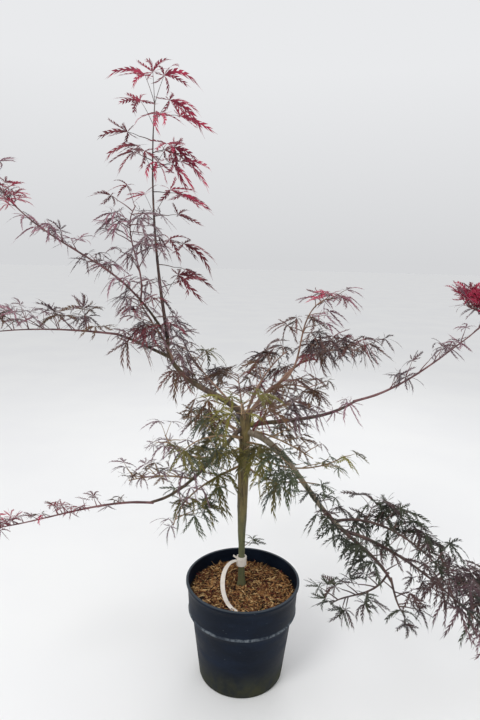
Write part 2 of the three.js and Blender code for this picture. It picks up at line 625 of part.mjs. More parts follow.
// A collar round the trunk with a short tab, and a strap that arches down to the medium's surface.
function labelSolid(trunk) {
  const share = (LABEL_HEIGHT - MEDIUM_LEVEL) / (TRUNK_TOP_HEIGHT - MEDIUM_LEVEL);
  const centre = new THREE.Vector3(
    TRUNK_FOOT.x - TRUNK_BOW * Math.sin(Math.PI * share),
    TRUNK_FOOT.y - TRUNK_LEAN * share,
    LABEL_HEIGHT,
  );
  const inner = TRUNK_RADIUS + 2 * FIT_GAP;
  const outer = inner + LABEL_COLLAR_WALL;
  const half = LABEL_COLLAR_TALL / 2;
  const collar = new THREE.LatheGeometry([
    new THREE.Vector2(inner, -half),
    new THREE.Vector2(outer, -half),
    new THREE.Vector2(outer, half),
    new THREE.Vector2(inner, half),
    new THREE.Vector2(inner, -half),
  ], 16);
  collar.rotateX(Math.PI / 2);
  collar.translate(centre.x, centre.y, centre.z);

  const restHeight = MEDIUM_LEVEL + LABEL_STRAP_THICKNESS / 2 + FIT_GAP;
  const strapFoot = new THREE.Vector3(centre.x - outer + LABEL_STRAP_SINK, centre.y - 3, centre.z);
  const strapEnd = new THREE.Vector3(LABEL_STRAP_REACH.x, LABEL_STRAP_REACH.y, restHeight);
  const route = new THREE.CubicBezierCurve3(
    strapFoot,
    new THREE.Vector3(LABEL_STRAP_BULGE, strapFoot.y - 10, centre.z + LABEL_STRAP_ARCH),
    new THREE.Vector3(LABEL_STRAP_BULGE, strapEnd.y + LABEL_STRAP_LANDING, restHeight + 2),
    strapEnd,
  );
  const strap = ribbon(route.getPoints(LABEL_STRAP_STEPS), LABEL_STRAP_WIDTH, LABEL_STRAP_THICKNESS);

  const tab = new THREE.BoxGeometry(LABEL_TAB_LENGTH, LABEL_STRAP_THICKNESS + 0.6, LABEL_TAB_WIDTH);
  tab.rotateY(radians(LABEL_TAB_TILT));
  const tabMiddle = centre.x - outer - LABEL_TAB_LENGTH / 2 + LABEL_TAB_SINK;
  tab.translate(tabMiddle, centre.y, centre.z + LABEL_TAB_RISE);

  const joined = solidOfGeometry(collar).add(strap).add(solidOfGeometry(tab));
  return largestPiece(joined.subtract(clearanceOf(trunk)));
}

// ---- the whole plant --------------------------------------------------------------------------

const plant = new THREE.Group();

function addPiece(name, shape, colour, roughness = 0.8) {
  const material = new THREE.MeshStandardMaterial({ color: COLOURS[colour], roughness, metalness: 0 });
  const mesh = new THREE.Mesh(geometryOf(shape), material);
  mesh.name = name;
  plant.add(mesh);
}

function makeTrunk() {
  const points = trunkPoints();
  const radii = points.map((point) => trunkRadius(point.z - MEDIUM_LEVEL));
  return { name: 'trunk', points, radii, sides: TRUNK_SIDES, levelEnds: true };
}

function makeLimb(spec, limbs, radius, sides) {
  const parent = limbs.find((limb) => limb.name === spec.from);
  const start = pointAt(parent.points, spec.at);
  if (spec.at === 1) {
    const [beforeLast, last] = parent.points.slice(-2);
    start.addScaledVector(last.clone().sub(beforeLast).normalize(), FIT_GAP);
  }
  const points = limbPoints(spec, start);
  return { name: spec.name, parent, points, radii: taper(points.length, radius), sides };
}

function limbSolid(limb) {
  return tube(limb.points, limb.radii, limb.sides, limb.levelEnds);
}

// Cuts a shape clear of the limbs made before it and keeps the main piece.
function cutClear(shape, neighbours) {
  return largestPiece(neighbours.reduce((rest, limb) => rest.subtract(clearanceOf(limb)), shape));
}

const trunk = makeTrunk();
addPiece('pot', potSolid(), 'pot', 0.55);
addPiece('growing_medium', mediumSolid(), 'medium', 0.95);
addPiece('trunk', limbSolid(trunk), 'trunk');
addPiece('plant_label', labelSolid(trunk), 'label', 0.4);

const limbs = [trunk];
for (const spec of BOUGHS) {
  const limb = makeLimb(spec, limbs, spec.radius, BOUGH_SIDES);
  addPiece(spec.name, cutClear(limbSolid(limb), limbs), spec.bark);
  limbs.push(limb);
}

const stems = MASSES.map((mass) => makeLimb(mass, limbs, [mass.foot, STEM_TIP_RADIUS], STEM_SIDES));
MASSES.forEach((mass, i) => {
  const own = stems[i];
  const fits = (points) => staysInSpace(points, own, stems, limbs);
  const parts = [limbSolid(own), ...foliageParts(mass, i + 1, own, fits)];
  const joined = Manifold.union(parts);
  addPiece(mass.name, cutClear(joined, [...limbs, ...stems.slice(0, i)]), mass.colour);
});

export default plant;
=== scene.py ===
"""Looks of the potted laceleaf maple: moulded pot, bark chips, bark with relief, twigs and leaves.

Sizes are in millimetres and degrees with +Z up, and become metres where a mesh is made.
"""
import json
import math
from typing import NamedTuple

import bmesh
import bpy
import numpy as np
from mathutils import Matrix, Vector

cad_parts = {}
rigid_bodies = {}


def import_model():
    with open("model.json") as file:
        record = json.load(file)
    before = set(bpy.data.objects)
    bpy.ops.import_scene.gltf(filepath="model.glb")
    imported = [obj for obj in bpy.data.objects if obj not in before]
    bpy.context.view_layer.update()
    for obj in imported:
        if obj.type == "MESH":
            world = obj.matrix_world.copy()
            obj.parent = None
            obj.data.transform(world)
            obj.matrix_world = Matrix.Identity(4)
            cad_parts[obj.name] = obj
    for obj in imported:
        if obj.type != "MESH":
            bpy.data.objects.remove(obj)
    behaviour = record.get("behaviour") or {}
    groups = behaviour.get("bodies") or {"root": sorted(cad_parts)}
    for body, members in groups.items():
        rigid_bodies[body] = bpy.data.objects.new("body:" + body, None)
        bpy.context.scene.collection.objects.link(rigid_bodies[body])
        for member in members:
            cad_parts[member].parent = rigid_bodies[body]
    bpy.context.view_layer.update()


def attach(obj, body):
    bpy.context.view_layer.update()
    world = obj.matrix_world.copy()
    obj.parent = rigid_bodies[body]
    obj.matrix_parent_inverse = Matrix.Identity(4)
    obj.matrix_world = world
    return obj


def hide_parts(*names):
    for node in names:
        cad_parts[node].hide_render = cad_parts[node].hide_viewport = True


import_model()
MM = 0.001

# ---- pot, growing medium, trunk and label ------------------------------------------------------

POT_HEIGHT = 261
POT_RIM_RADIUS = 144
POT_FOOT_RADIUS = 107
POT_WALL = 2.4
BAND_FOOT_HEIGHT = 182
BAND_FOOT_RADIUS = 136
BAND_STEP = 7
BEAD_RADIUS = 2.8
BEAD_INSET = 0.9           # of its middle from the band's foot, and how far it lies below
BEAD_DROP = 0.6
BEAD_SWEEP = 75            # degrees up and down from level
RIM_LIP_WIDTH = 3.5
RIM_LIP_HEIGHT = 7
LIP_ROUNDING = 1.5
LIP_UNDER_ROUNDING = 1.2
FOOT_ROUNDING = 4
INNER_ROUNDING = 1
WALL_RINGS = 12            # below the band; fewer on it and inside
BAND_RINGS = 6
INSIDE_RINGS = 5
LEDGE_ROOM = 5             # how far the rings above and below keep off the band's foot
BEAD_ROOM = 7
INNER_LEDGE_DROP = 6       # how far inside the wall steps in below the band's foot
POT_FLOOR = 3.4
POT_SIDES = 144
DRAIN_HOLE_COUNT = 6
DRAIN_HOLE_RADIUS = 7
DRAIN_CIRCLE_RADIUS = 78
DRAIN_BORE = (-4, 8)       # from below the pot's floor to above it
WELD_REACH = 1e-6          # metres
MEDIUM_LEVEL = 230
MEDIUM_EDGE_DIP = 4
MEDIUM_RINGS = 46
MEDIUM_DIP_START = 0.75    # of the medium's radius
MEDIUM_SINK = 1.5          # how far the fines lie below the chips' level
FINES_GRAIN = 260
CHIP_GRAIN = 420
FIBRE_GRAIN = 300
CHIP_SEED = 7
CHIP_COUNT = 6400
FIBRE_COUNT = 1000
LARGE_CHIP = ((15, 32), (1.8, 3.8), (1, 2.4))    # the ranges of length, width and thickness
SMALL_CHIP = ((8, 20), (0.9, 2.2), (0.7, 1.6))
FIBRE = ((14, 38), (0.7, 1.5), (0.5, 1.1))
CHIP_CORNERS = 6
CHIP_JITTER = (0.62, 1.15)  # the range of a corner's distance from the middle
CHIP_TOP_SHARE = 0.72      # how large a chip's upper face is, of its lower one
CHIP_UNEVENNESS = 0.18     # of its thickness
CHIP_LEAN = 0.3            # how much chips tip sideways and endways, in radians
CHIP_TIP = 0.34
CHIP_LIFT = 5
FIBRE_LIFT = 4.5
CHIP_WALL_GAP = 9
CHIP_OVERHANG = 7          # how far beyond its middle's reach a chip's end may go
CHIP_TRUNK_GAP = 6

FIT_GAP = 0.35
TRUNK_FOOT = (-3, 14)
TRUNK_TOP_HEIGHT = 690
TRUNK_LEAN = 12
TRUNK_BOW = 3
TRUNK_RADIUS = 8
ROOT_FLARE = 4
FLARE_HEIGHT = 14
GRAFT_RADIUS = 13.2
GRAFT_START = 90
GRAFT_END = 260
TRUNK_STEPS = 14
TRUNK_STEP_POWER = 1.3     # above 1, so that the steps are shorter at the foot
LIMB_STEPS = 8

LABEL_HEIGHT = 300
LABEL_COLLAR_TALL = 24
LABEL_COLLAR_WALL = 4.2
LABEL_STRAP_WIDTH = 11
LABEL_STRAP_THICKNESS = 1.2
LABEL_TAB_LENGTH = 15
LABEL_TAB_WIDTH = 8
LABEL_TAB_TILT = 35
LABEL_STRAP_REACH = (-10, -98)
LABEL_STRAP_BULGE = -62
LABEL_STRAP_STEPS = 60
LABEL_TAB_STEPS = 8
LABEL_EDGE = 1.1
LABEL_LAP = 0.7            # how far the sleeve stands out where its ends lap
LABEL_LAP_TURN = -2.2      # where that is, and over how much, in radians
LABEL_LAP_SPREAD = 0.35
LABEL_WAIST = 0.5
LABEL_SIDES = 64
RIBBON_SIDES = 16

# ---- limbs and masses of foliage ---------------------------------------------------------------


class Bough(NamedTuple):
    """A limb that springs from `parent` at the share `at` of its length. Its heading turns by
    `swing`, and `rise` is its slope at its start, middle and end."""
    name: str
    parent: str
    at: float
    heading: float
    swing: float
    rise: tuple
    length: float
    radius: tuple
    bark: str = "bough"
    curl: float = 0


class Mass(NamedTuple):
    """A leafy stem: a limb with `sprays` side twigs, lifted by `lift` degrees, whose leaves hang
    `hang` degrees below them. Sprays take a tint named in `inner` near the foot and in `outer`
    near the tip. `habit` says how its finer leaves stand."""
    name: str
    parent: str
    at: float
    heading: float
    swing: float
    rise: tuple
    length: float
    foot: float
    sprays: int
    twig: float
    leaf: float
    hang: float
    lift: float
    habit: str
    inner: str
    outer: str
    shoot: str = "brown"
    curl: float = 0


BOUGHS = [
    Bough("bough_leader", "trunk", 0.99, 172, -14, (47, 28, 102), 295, (8.5, 5.2)),
    Bough("bough_upper_left", "bough_leader", 0.97, 205, 0, (60, 55, 48), 123, (3.6, 2.8)),
    Bough("bough_left", "bough_leader", 0.8, 172, 1, (22, 22, 14), 151, (4.2, 3.2)),
    Bough("bough_lower_left", "trunk", 0.955, 208, -8, (-34, -42, -7), 289, (5.5, 3.4)),
    Bough("bough_upper_right", "trunk", 0.985, 38, -3, (39, 42, 13), 122, (6.2, 4.6), "tan"),
    Bough("bough_right", "trunk", 0.95, 8, -4, (12, 8, 36), 279, (5.6, 3.6)),
    Bough("bough_lower_right", "trunk", 0.93, -28, -21, (0, -41, -15), 329, (8.2, 5.2), "grey"),
    Bough("bough_drooping", "bough_lower_right", 0.97, -50, -12, (-23, -12, -37), 158, (4.4, 3),
          "dark"),
]

MASSES = [
    Mass("mass_leader", "bough_leader", 1, 158, -10, (79, 86, 96), 537, 4.6, 8, 34, 84, 12, 0,
         "tiered", "bronze deep_red deep_red", "crimson crimson deep_red", "dark"),
    Mass("mass_upper_left", "bough_upper_left", 1, 205, 12, (50, 31, 61), 391, 2.6, 8, 26, 46, 12,
         10, "sparse", "plum mauve_grey", "mauve_pink mauve_grey", "red"),
    Mass("mass_left_high", "bough_upper_left", 0.93, 250, -20, (111, 68, 133), 225, 2.4, 6, 42, 64,
         25, 0, "bushy", "plum mauve_grey", "mauve_grey deep_red", "red"),
    Mass("mass_left", "bough_left", 1, 173, 12, (4, -1, -10), 352, 3, 8, 50, 58, 6, 30,
         "sparse", "plum mauve_grey", "mauve_grey mauve_grey mauve_pink", "red"),
    Mass("mass_lower_left", "bough_lower_left", 1, 200, -14, (12, -10, -6), 356, 3.1, 7, 14, 30, 6,
         10, "airy", "plum brown_olive", "deep_red deep_red crimson", "red"),
    Mass("mass_left_short", "trunk", 0.78, 216, -22, (-13, -29, -81), 235, 3.4, 7, 44, 54, 35, 0,
         "bushy", "olive grey_green", "grey_green olive mauve_grey", "olive"),
    Mass("mass_left_middle", "trunk", 0.86, 210, -15, (-14, 8, 70), 225, 3.2, 6, 34, 48, 30, 0,
         "bushy", "olive grey_green", "mauve_grey grey_green", "olive"),
    Mass("mass_left_spray", "trunk", 0.915, 172, -8, (29, 13, -31), 166, 2.8, 5, 22, 42, 30, 0,
         "airy", "olive", "grey_green brown_olive", "olive"),
    Mass("mass_crown_left", "trunk", 0.97, 130, 3, (34, 26, 47), 304, 3.6, 7, 44, 62, 25, 0,
         "bushy", "olive brown_olive", "plum purple_brown"),
    Mass("mass_crown", "trunk", 0.995, 50, -10, (64, 46, 26), 205, 3.6, 7, 40, 58, 25, 0,
         "bushy", "brown_olive purple_brown", "purple_brown dark_purple"),
    Mass("mass_upper_right", "bough_upper_right", 1, 30, -7, (47, 16, -15), 268, 4, 8, 54, 76, 35,
         0, "airy", "purple_brown deep_red", "dark_purple purple_brown"),
    Mass("mass_upper_right_top", "bough_upper_right", 0.93, 8, 13, (19, 80, -12), 287, 3, 7, 34,
         52, 25, 0, "bushy", "purple_brown dark_purple", "deep_red mauve_pink"),
    Mass("mass_upper_right_low", "bough_upper_right", 0.7, -10, -14, (36, 7, -28), 120, 3, 5, 34,
         50, 35, 0, "bushy", "brown_olive purple_brown", "purple_brown brown_olive"),
    Mass("mass_right", "bough_right", 1, 4, -16, (13, 40, 37), 425, 3.3, 9, 34, 50, 12, 25,
         "sparse", "mauve_grey plum", "mauve_pink mauve_grey", "red", 170),
    Mass("mass_lower_right", "bough_lower_right", 1, -24, -4, (-2, -26, -36), 318, 4.4, 10, 34, 54,
         35, 0, "dense", "dark_green deep_brown",
         "plum deep_brown dark_green mauve_grey", "dark"),
    Mass("mass_lower_right_high", "bough_lower_right", 0.91, -2, 3, (16, -34, -42), 345, 3.4, 9,
         40, 60, 35, 0, "dense", "dark_green deep_brown grey_green",
         "plum deep_brown dark_green purple_brown", "dark"),
    Mass("mass_drooping_right", "bough_drooping", 1, -40, 10, (-70, -66, -40), 70, 2.6, 4, 24, 38,
         6, 0, "bushy", "deep_brown", "dark_green deep_brown", "dark"),
    Mass("mass_drooping_left", "bough_drooping", 0.9, 205, 0, (-60, 0, -20), 140, 2.2, 5, 28, 40,
         4, 0, "bushy", "deep_brown dark_green", "plum dark_green", "dark"),
    Mass("mass_middle_right", "trunk", 0.86, -12, -12, (-40, 4, 39), 265, 3.2, 7, 34, 46, 25, 0,
         "sparse", "olive grey_green", "yellow_green grey_green", "olive"),
    Mass("mass_middle_right_low", "trunk", 0.79, -44, -2, (-36, 12, 10), 230, 3, 6, 34, 50, 30, 0,
         "sparse", "grey_green blue_green", "grey_green olive", "olive"),
    Mass("mass_back", "trunk", 0.91, 98, -6, (40, 14, -4), 330, 3.6, 7, 52, 72, 30, 0,
         "bushy", "olive brown_olive", "brown_olive plum"),
    Mass("mass_back_left", "trunk", 0.84, 104, 4, (16, -4, -24), 300, 3.8, 8, 46, 62, 35, 0,
         "bushy", "olive grey_green", "grey_green mauve_grey"),
    Mass("mass_back_right", "trunk", 0.87, 68, -8, (26, 6, -20), 310, 3.8, 7, 52, 70, 35, 0,
         "bushy", "dark_purple grey_green", "purple_brown dark_purple"),
    Mass("mass_front", "trunk", 0.965, 262, 10, (50, 25, -20), 210, 3.4, 6, 44, 60, 30, 0,
         "sparse", "olive brown_olive", "yellow_green brown_olive", "olive"),
    Mass("mass_front_left", "trunk", 0.9, 236, -8, (15, 12, -25), 215, 3.4, 6, 42, 54, 35, 0,
         "sparse", "olive grey_green", "grey_green olive", "olive"),
    Mass("mass_front_right", "trunk", 0.88, 300, 8, (14, 0, -40), 215, 3.2, 7, 42, 58, 30, 0,
         "bushy", "yellow_green olive", "grey_green olive", "olive"),
    Mass("mass_left_inner", "bough_leader", 0.76, 204, -6, (78, 56, 74), 190, 3, 7, 30, 48, 20, 0,
         "dense", "plum mauve_grey", "mauve_grey deep_red"),
    Mass("mass_lower_left_spray", "bough_lower_left", 0.62, 200, -14, (20, 2, -14), 150, 2.6, 5,
         30, 46, 15, 5, "airy", "brown_olive", "mauve_grey brown_olive", "olive"),
    Mass("mass_right_inner", "trunk", 0.935, -24, 2, (4, -16, -24), 180, 3, 5, 36, 50, 30, 0,
         "airy", "olive brown_olive", "brown_olive mauve_grey", "olive"),
]


class Stretch(NamedTuple):
    """A stretch of a bough or stem with `sprays` more twigs, from the share `start` of its length
    to `end`. Its leaves belong to the mass `name`."""
    name: str
    parent: str
    start: float
    end: float
    sprays: int
    twig: float
    leaf: float
    hang: float
    lift: float
    habit: str
    inner: str
    outer: str
    shoot: str = "brown"


STRETCHES = [
    Stretch("mass_leader", "mass_leader", 0.72, 0.82, 3, 22, 76, 15, 5, "dense",
            "crimson deep_red", "crimson deep_red", "dark"),
    Stretch("mass_left_inner", "bough_leader", 0.28, 0.78, 4, 34, 64, 45, 0, "airy",
            "brown_olive purple_brown", "plum brown_olive"),
    Stretch("mass_left", "bough_left", 0.25, 1, 3, 22, 58, 30, 10, "airy",
            "plum purple_brown", "mauve_grey plum"),
    Stretch("mass_left", "mass_left", 0.04, 0.95, 8, 38, 60, 10, 26, "airy",
            "plum brown_olive", "mauve_grey brown_olive", "red"),
    Stretch("mass_left_high", "bough_upper_left", 0.1, 1, 5, 30, 60, 30, 5, "airy",
            "deep_red plum", "mauve_grey mauve_pink"),
    Stretch("mass_left_high", "mass_left_high", 0.05, 0.85, 11, 38, 56, 25, 0, "bushy",
            "mauve_grey mauve_pink", "mauve_pink mauve_grey", "red"),
    Stretch("mass_upper_left", "mass_upper_left", 0.02, 0.34, 5, 28, 54, 30, 10, "airy",
            "mauve_grey mauve_pink", "mauve_pink plum", "red"),
    Stretch("mass_upper_left", "mass_upper_left", 0.4, 0.75, 2, 20, 52, 25, 10, "airy",
            "mauve_pink", "mauve_pink mauve_grey", "red"),
    Stretch("mass_upper_left", "mass_upper_left", 0.82, 0.98, 5, 9, 36, 5, 15, "tuft",
            "crimson", "crimson", "red"),
    Stretch("mass_lower_left_spray", "bough_lower_left", 0.2, 0.75, 3, 30, 54, 40, 5, "airy",
            "olive grey_green", "grey_green mauve_grey", "olive"),
    Stretch("mass_lower_left", "mass_lower_left", 0.84, 1, 4, 10, 34, 5, 15, "tuft",
            "deep_red crimson", "crimson deep_red", "red"),
    Stretch("mass_lower_left", "mass_lower_left", 0.5, 0.62, 2, 14, 42, 15, 20, "airy",
            "deep_red", "crimson deep_red", "red"),
    Stretch("mass_upper_right", "bough_upper_right", 0.1, 1, 3, 34, 60, 45, 0, "airy",
            "purple_brown deep_red", "deep_red mauve_grey"),
    Stretch("mass_upper_right", "mass_upper_right", 0.05, 0.6, 3, 40, 68, 50, 0, "airy",
            "purple_brown brown_olive", "purple_brown grey_green"),
    Stretch("mass_upper_right_top", "mass_upper_right_top", 0.05, 0.7, 3, 28, 52, 30, 0, "airy",
            "purple_brown deep_red", "brown_olive mauve_grey"),
    Stretch("mass_upper_right_top", "mass_upper_right_top", 0.84, 1, 4, 12, 36, 5, 10, "airy",
            "crimson", "crimson deep_red", "red"),
    Stretch("mass_right", "bough_right", 0.4, 1, 2, 16, 50, 30, 0, "airy",
            "mauve_grey", "mauve_pink mauve_grey", "red"),
    Stretch("mass_right", "mass_right", 0.02, 0.75, 1, 24, 62, 30, 5, "sparse",
            "plum mauve_grey", "mauve_grey mauve_pink", "red"),
    Stretch("mass_right", "mass_right", 0.8, 1, 18, 26, 52, -10, 48, "tuft",
            "crimson", "crimson", "red"),
    Stretch("mass_right_inner", "bough_lower_right", 0.14, 0.4, 2, 30, 48, 20, 20, "airy",
            "brown_olive", "brown_olive grey_green", "olive"),
    Stretch("mass_lower_right_high", "bough_lower_right", 0.68, 1, 6, 26, 52, 40, 5, "airy",
            "dark_green grey_green", "dark_green deep_brown", "dark"),
    Stretch("mass_lower_right_high", "mass_lower_right_high", 0.1, 0.95, 4, 36, 58, 55, -15, "airy",
            "dark_green purple_brown", "deep_brown plum", "dark"),
    Stretch("mass_lower_right", "mass_lower_right", 0.02, 0.6, 5, 30, 52, 35, -5, "airy",
            "dark_green deep_brown", "deep_brown plum", "dark"),
    Stretch("mass_drooping_left", "bough_drooping", 0.05, 0.95, 7, 26, 54, 45, 15, "airy",
            "dark_green grey_green", "dark_green deep_brown", "dark"),
    Stretch("mass_front_right", "trunk", 0.3, 0.36, 1, 22, 54, 15, 15, "airy",
            "grey_green", "grey_green", "olive"),
    Stretch("mass_crown", "mass_crown", 0.08, 0.8, 6, 34, 46, 30, 0, "bushy",
            "purple_brown brown_olive", "purple_brown deep_red"),
    Stretch("mass_upper_right", "bough_upper_right", 0.15, 0.8, 3, 36, 46, 10, 30, "airy",
            "purple_brown", "purple_brown deep_red"),
    Stretch("mass_left_inner", "mass_left_inner", 0.1, 0.95, 6, 34, 46, 25, 0, "bushy",
            "mauve_grey plum", "mauve_grey deep_red"),
    Stretch("mass_left_high", "mass_left_high", 0.02, 0.55, 7, 48, 48, 15, 20, "bushy",
            "mauve_grey deep_red", "mauve_pink mauve_grey", "red"),
]

# ---- the growth rule's numbers -----------------------------------------------------------------

STALK_SHARE = 0.38
LOBE_ANGLES = np.array([-104, -52, 0, 52, 104])
LOBE_SHARES = np.array([0.6, 0.88, 1, 0.88, 0.6])
LOBE_DROOP = 0.28
RIB_CHECKS = (1, 0.67, 0.33)
STALK_CHECK = 0.6
ROOT_DEPTH = 3.5
LIMB_CLEARANCE = 3
SPACE_MARGIN = 4
LEAF_CLEARANCE = 5
STEM_TIP_RADIUS = 2.1
STEM_BARE_SHARE = 0.16
SIGHT = 0.05               # the share of a stem before and after a place that gives its course
CURL_START = 0.8
CURL_SHARE = 0.2
STEEP_SINE = 0.8
STEEP_FACING = 90
STEEP_SPREAD = (60, 125)
LEVEL_SPREAD = (32, 70)
LOWEST_TWIG_RISE = -8
TWIG_RISE_RANGE = 42
TWIG_SIZES = (0.75, 0.5)   # the least size and how much chance adds to it, as below
LEAF_SIZES = (0.85, 0.3)
SECOND_LEAF_TURN = 85
STEEP_TIP_TURNS = (-90, 90, 180)
STEEP_TIP_RISE = 70
STEEP_TIP_STALK = 2
LEVEL_TIP_TURNS = (-60, 0, 60)
LEVEL_TIP_RISE = 10
TWIG_TRIES = 8
LEAF_TRIES = 4
SHRINK_PER_TRY = 0.86

FINE_CLEARANCE = 1.5       # between the smaller leaves and the leaves round them
FINE_MARGIN = -25          # the smaller leaves may cross a little into the next mass
FINE_SPRAY_PLACE = 0.25    # in its share of the stem, where a main spray is at the middle
FINE_SPRAY_KEY = 100
PAIR_KEY = 200
FORK_KEY = 300
FORK_TURNS = (-85, 85, -40, 40)
FORK_SIZES = (0.8, 0.4)
FORK_RISE = 22
FORK_STALK = 0.55
FORK_HANG = 20
PAIR_START = 0.06
PAIR_SIZES = (0.85, 0.4)
STEEP_PAIR_TURNS = (65, 115)
STEEP_PAIR_RANGE = 40
STEEP_PAIR_RISE = 58
LEVEL_PAIR_TURN = 48
LEVEL_PAIR_RANGE = 30
PAIR_STALK = 0.8
PAIR_HANG = -8
TINT_KEY = 400
STRETCH_KEY = 500
VARIANT_COUNT = 10
LEAF_ANGLES = (-126, -84, -41, 0, 41, 84, 126)
LEAF_SHARES = (0.36, 0.7, 0.92, 1, 0.92, 0.7, 0.36)
LEAF_TEETH = (2, 4, 5, 5, 5, 4, 2)
LOBE_ANGLE_RANGE = 18
LOBE_BEND_RANGE = 56
LOBE_SIZES = (0.84, 0.3)
RIB_SPAN = (0.1, 0.8)      # the toothed part of a lobe's rib
RIB_TAPER = 1.1
RIB_WIDTH = 0.034          # half the width of a lobe's ribbon at its foot, of its length
TOOTH_REACH = 0.058        # how far the teeth stand out, of a lobe's length
TOOTH_SIZES = (0.6, 0.8)
TOOTH_PLACE = 0.28         # in its step, and how far the two sides and chance move it
TOOTH_SHIFT = 0.24
TOOTH_RANGE = 0.2
# A tooth's corners: how many steps along the rib, then the shares of the ribbon's half width and
# of the tooth's reach that add up to its distance from the rib.
TOOTH_FORM = ((-0.1, 0.7, 0), (0.5, 0.6, 0), (0.4, 1, 0.7), (1.25, 1, 1))
LOBE_STAND = 0.42          # how far the lobes stand up or hang from the leaf's plane
LOBE_TWIST = 100           # the range of a lobe's turn about its own rib
LOBE_RISE = 0.1            # how far the lobes rise before they droop
DROOP_SIZES = (0.9, 0.14)  # the first variant's share of the droop, and what each one adds
RIBBON_FOLD = 0.2          # how far the ribbon's edges stand up, of their way from the rib
LEAF_ROLL = 70             # the range of a leaf's turn about its middle lobe
LEAVES_PER_PIECE = 600


class Habit(NamedTuple):
    """How the finer leaves stand: the spacing of the pairs on the stem, their size, the count and
    size of the small sprays for each main one, the leaves at each main twig's node, how much
    further than the main ones some of them hang, and how steeply the pairs rise."""
    spacing: float
    pair: float
    sprays: int
    spray: float
    forks: int
    loll: float
    pair_rise: float


HABITS = {
    "sparse": Habit(110, 0.9, 0, 0, 0, 25, 40),
    "tiered": Habit(92, 0.95, 0, 0, 0, 10, 34),
    "airy": Habit(75, 0.85, 1, 0.9, 0, 35, 34),
    "bushy": Habit(74, 0.95, 1, 0.95, 0, 40, 26),
    "dense": Habit(54, 0.95, 1, 1, 2, 45, -4),
    "tuft": Habit(30, 0.9, 2, 0.9, 0, 20, 30),
}

UP = np.array([0.0, 0.0, 1.0])
MASK_32 = 0xFFFFFFFF


def chance(*keys):
    """A number from 0 to 1 that depends only on its whole-number keys."""
    h = 0x9E3779B9
    for key in keys:
        h = ((h ^ key) * 0x85EBCA6B) & MASK_32
        h ^= h >> 13
        h = (h * 0xC2B2AE35) & MASK_32
        h ^= h >> 16
    return h / 2 ** 32


def vary(low, extent, *keys):
    """A number from `low` to `low + extent` that depends only on its keys."""
    return low + extent * chance(*keys)


def swing(extent, *keys):
    """A number within half of `extent` on either side of 0."""
    return extent * (chance(*keys) - 0.5)


def direction(heading, rise):
    a, b = math.radians(heading), math.radians(rise)
    return np.array([math.cos(a) * math.cos(b), math.sin(a) * math.cos(b), math.sin(b)])


def unit(vector):
    return vector / np.linalg.norm(vector)


def heading_of(vector):
    return math.degrees(math.atan2(vector[1], vector[0]))


def smoothstep(value, low, high):
    share = np.clip((value - low) / (high - low), 0, 1)
    return share * share * (3 - 2 * share)


# ---- limbs -------------------------------------------------------------------------------------


class Limb(NamedTuple):
    name: str
    points: np.ndarray
    radii: np.ndarray

    def at(self, share):
        place = share * (len(self.points) - 1)
        i = min(int(place), len(self.points) - 2)
        return self.points[i] + (self.points[i + 1] - self.points[i]) * (place - i)


def limb_points(spec, start):
    low, middle, high = spec.rise
    points = [start]
    for i in range(LIMB_STEPS):
        t = (i + 0.5) / LIMB_STEPS
        bend = low * (1 - t) * (1 - 2 * t) + middle * 4 * t * (1 - t) + high * t * (2 * t - 1)
        tip_curl = spec.curl * max(0, (t - CURL_START) / CURL_SHARE)
        step = direction(spec.heading + spec.swing * t, bend + tip_curl)
        points.append(points[i] + step * (spec.length / LIMB_STEPS))
    return np.array(points)


def trunk_axis(share):
    """The trunk's centre line from its foot, 0, to its top, 1."""
    foot = MEDIUM_LEVEL + FIT_GAP
    return np.stack([
        TRUNK_FOOT[0] - TRUNK_BOW * np.sin(np.pi * share),
        TRUNK_FOOT[1] - TRUNK_LEAN * share,
        foot + (TRUNK_TOP_HEIGHT - foot) * share,
    ], axis=-1)


def trunk_radius(height):
    flare = ROOT_FLARE * np.exp(-height / FLARE_HEIGHT)
    swelling = smoothstep(height, GRAFT_START, GRAFT_END)
    return TRUNK_RADIUS + flare + (GRAFT_RADIUS - TRUNK_RADIUS) * swelling


def grow_trunk():
    points = trunk_axis((np.arange(TRUNK_STEPS + 1) / TRUNK_STEPS) ** TRUNK_STEP_POWER)
    return Limb("trunk", points, trunk_radius(points[:, 2] - MEDIUM_LEVEL))


def grow_limb(spec, limbs, radius):
    parent = limbs[spec.parent]
    start = parent.at(spec.at)
    if spec.at == 1:
        start = start + unit(parent.points[-1] - parent.points[-2]) * FIT_GAP
    points = limb_points(spec, start)
    return Limb(spec.name, points, np.linspace(radius[0], radius[1], len(points)))


limbs = {"trunk": grow_trunk()}
for spec in BOUGHS:
    limbs[spec.name] = grow_limb(spec, limbs, spec.radius)
stems = [grow_limb(mass, limbs, (mass.foot, STEM_TIP_RADIUS)) for mass in MASSES]

# ---- the growth rule ---------------------------------------------------------------------------


def distances(points, starts, ends):
    """The distance from each point to each line, as a table of points by lines."""
    lines = ends - starts
    offsets = points[:, None] - starts
    share = np.clip((offsets * lines).sum(-1) / (lines * lines).sum(-1), 0, 1)
    return np.linalg.norm(offsets - share[..., None] * lines, axis=-1)


def lines_of(group):
    starts = np.concatenate([limb.points[:-1] for limb in group])
    ends = np.concatenate([limb.points[1:] for limb in group])
    radii = np.concatenate([limb.radii[:-1] for limb in group])
    return starts, ends, radii


LIMB_LINES = lines_of(limbs.values())
STEM_LINES = lines_of(stems)
STEM_OF_LINE = np.repeat(np.arange(len(stems)), LIMB_STEPS)


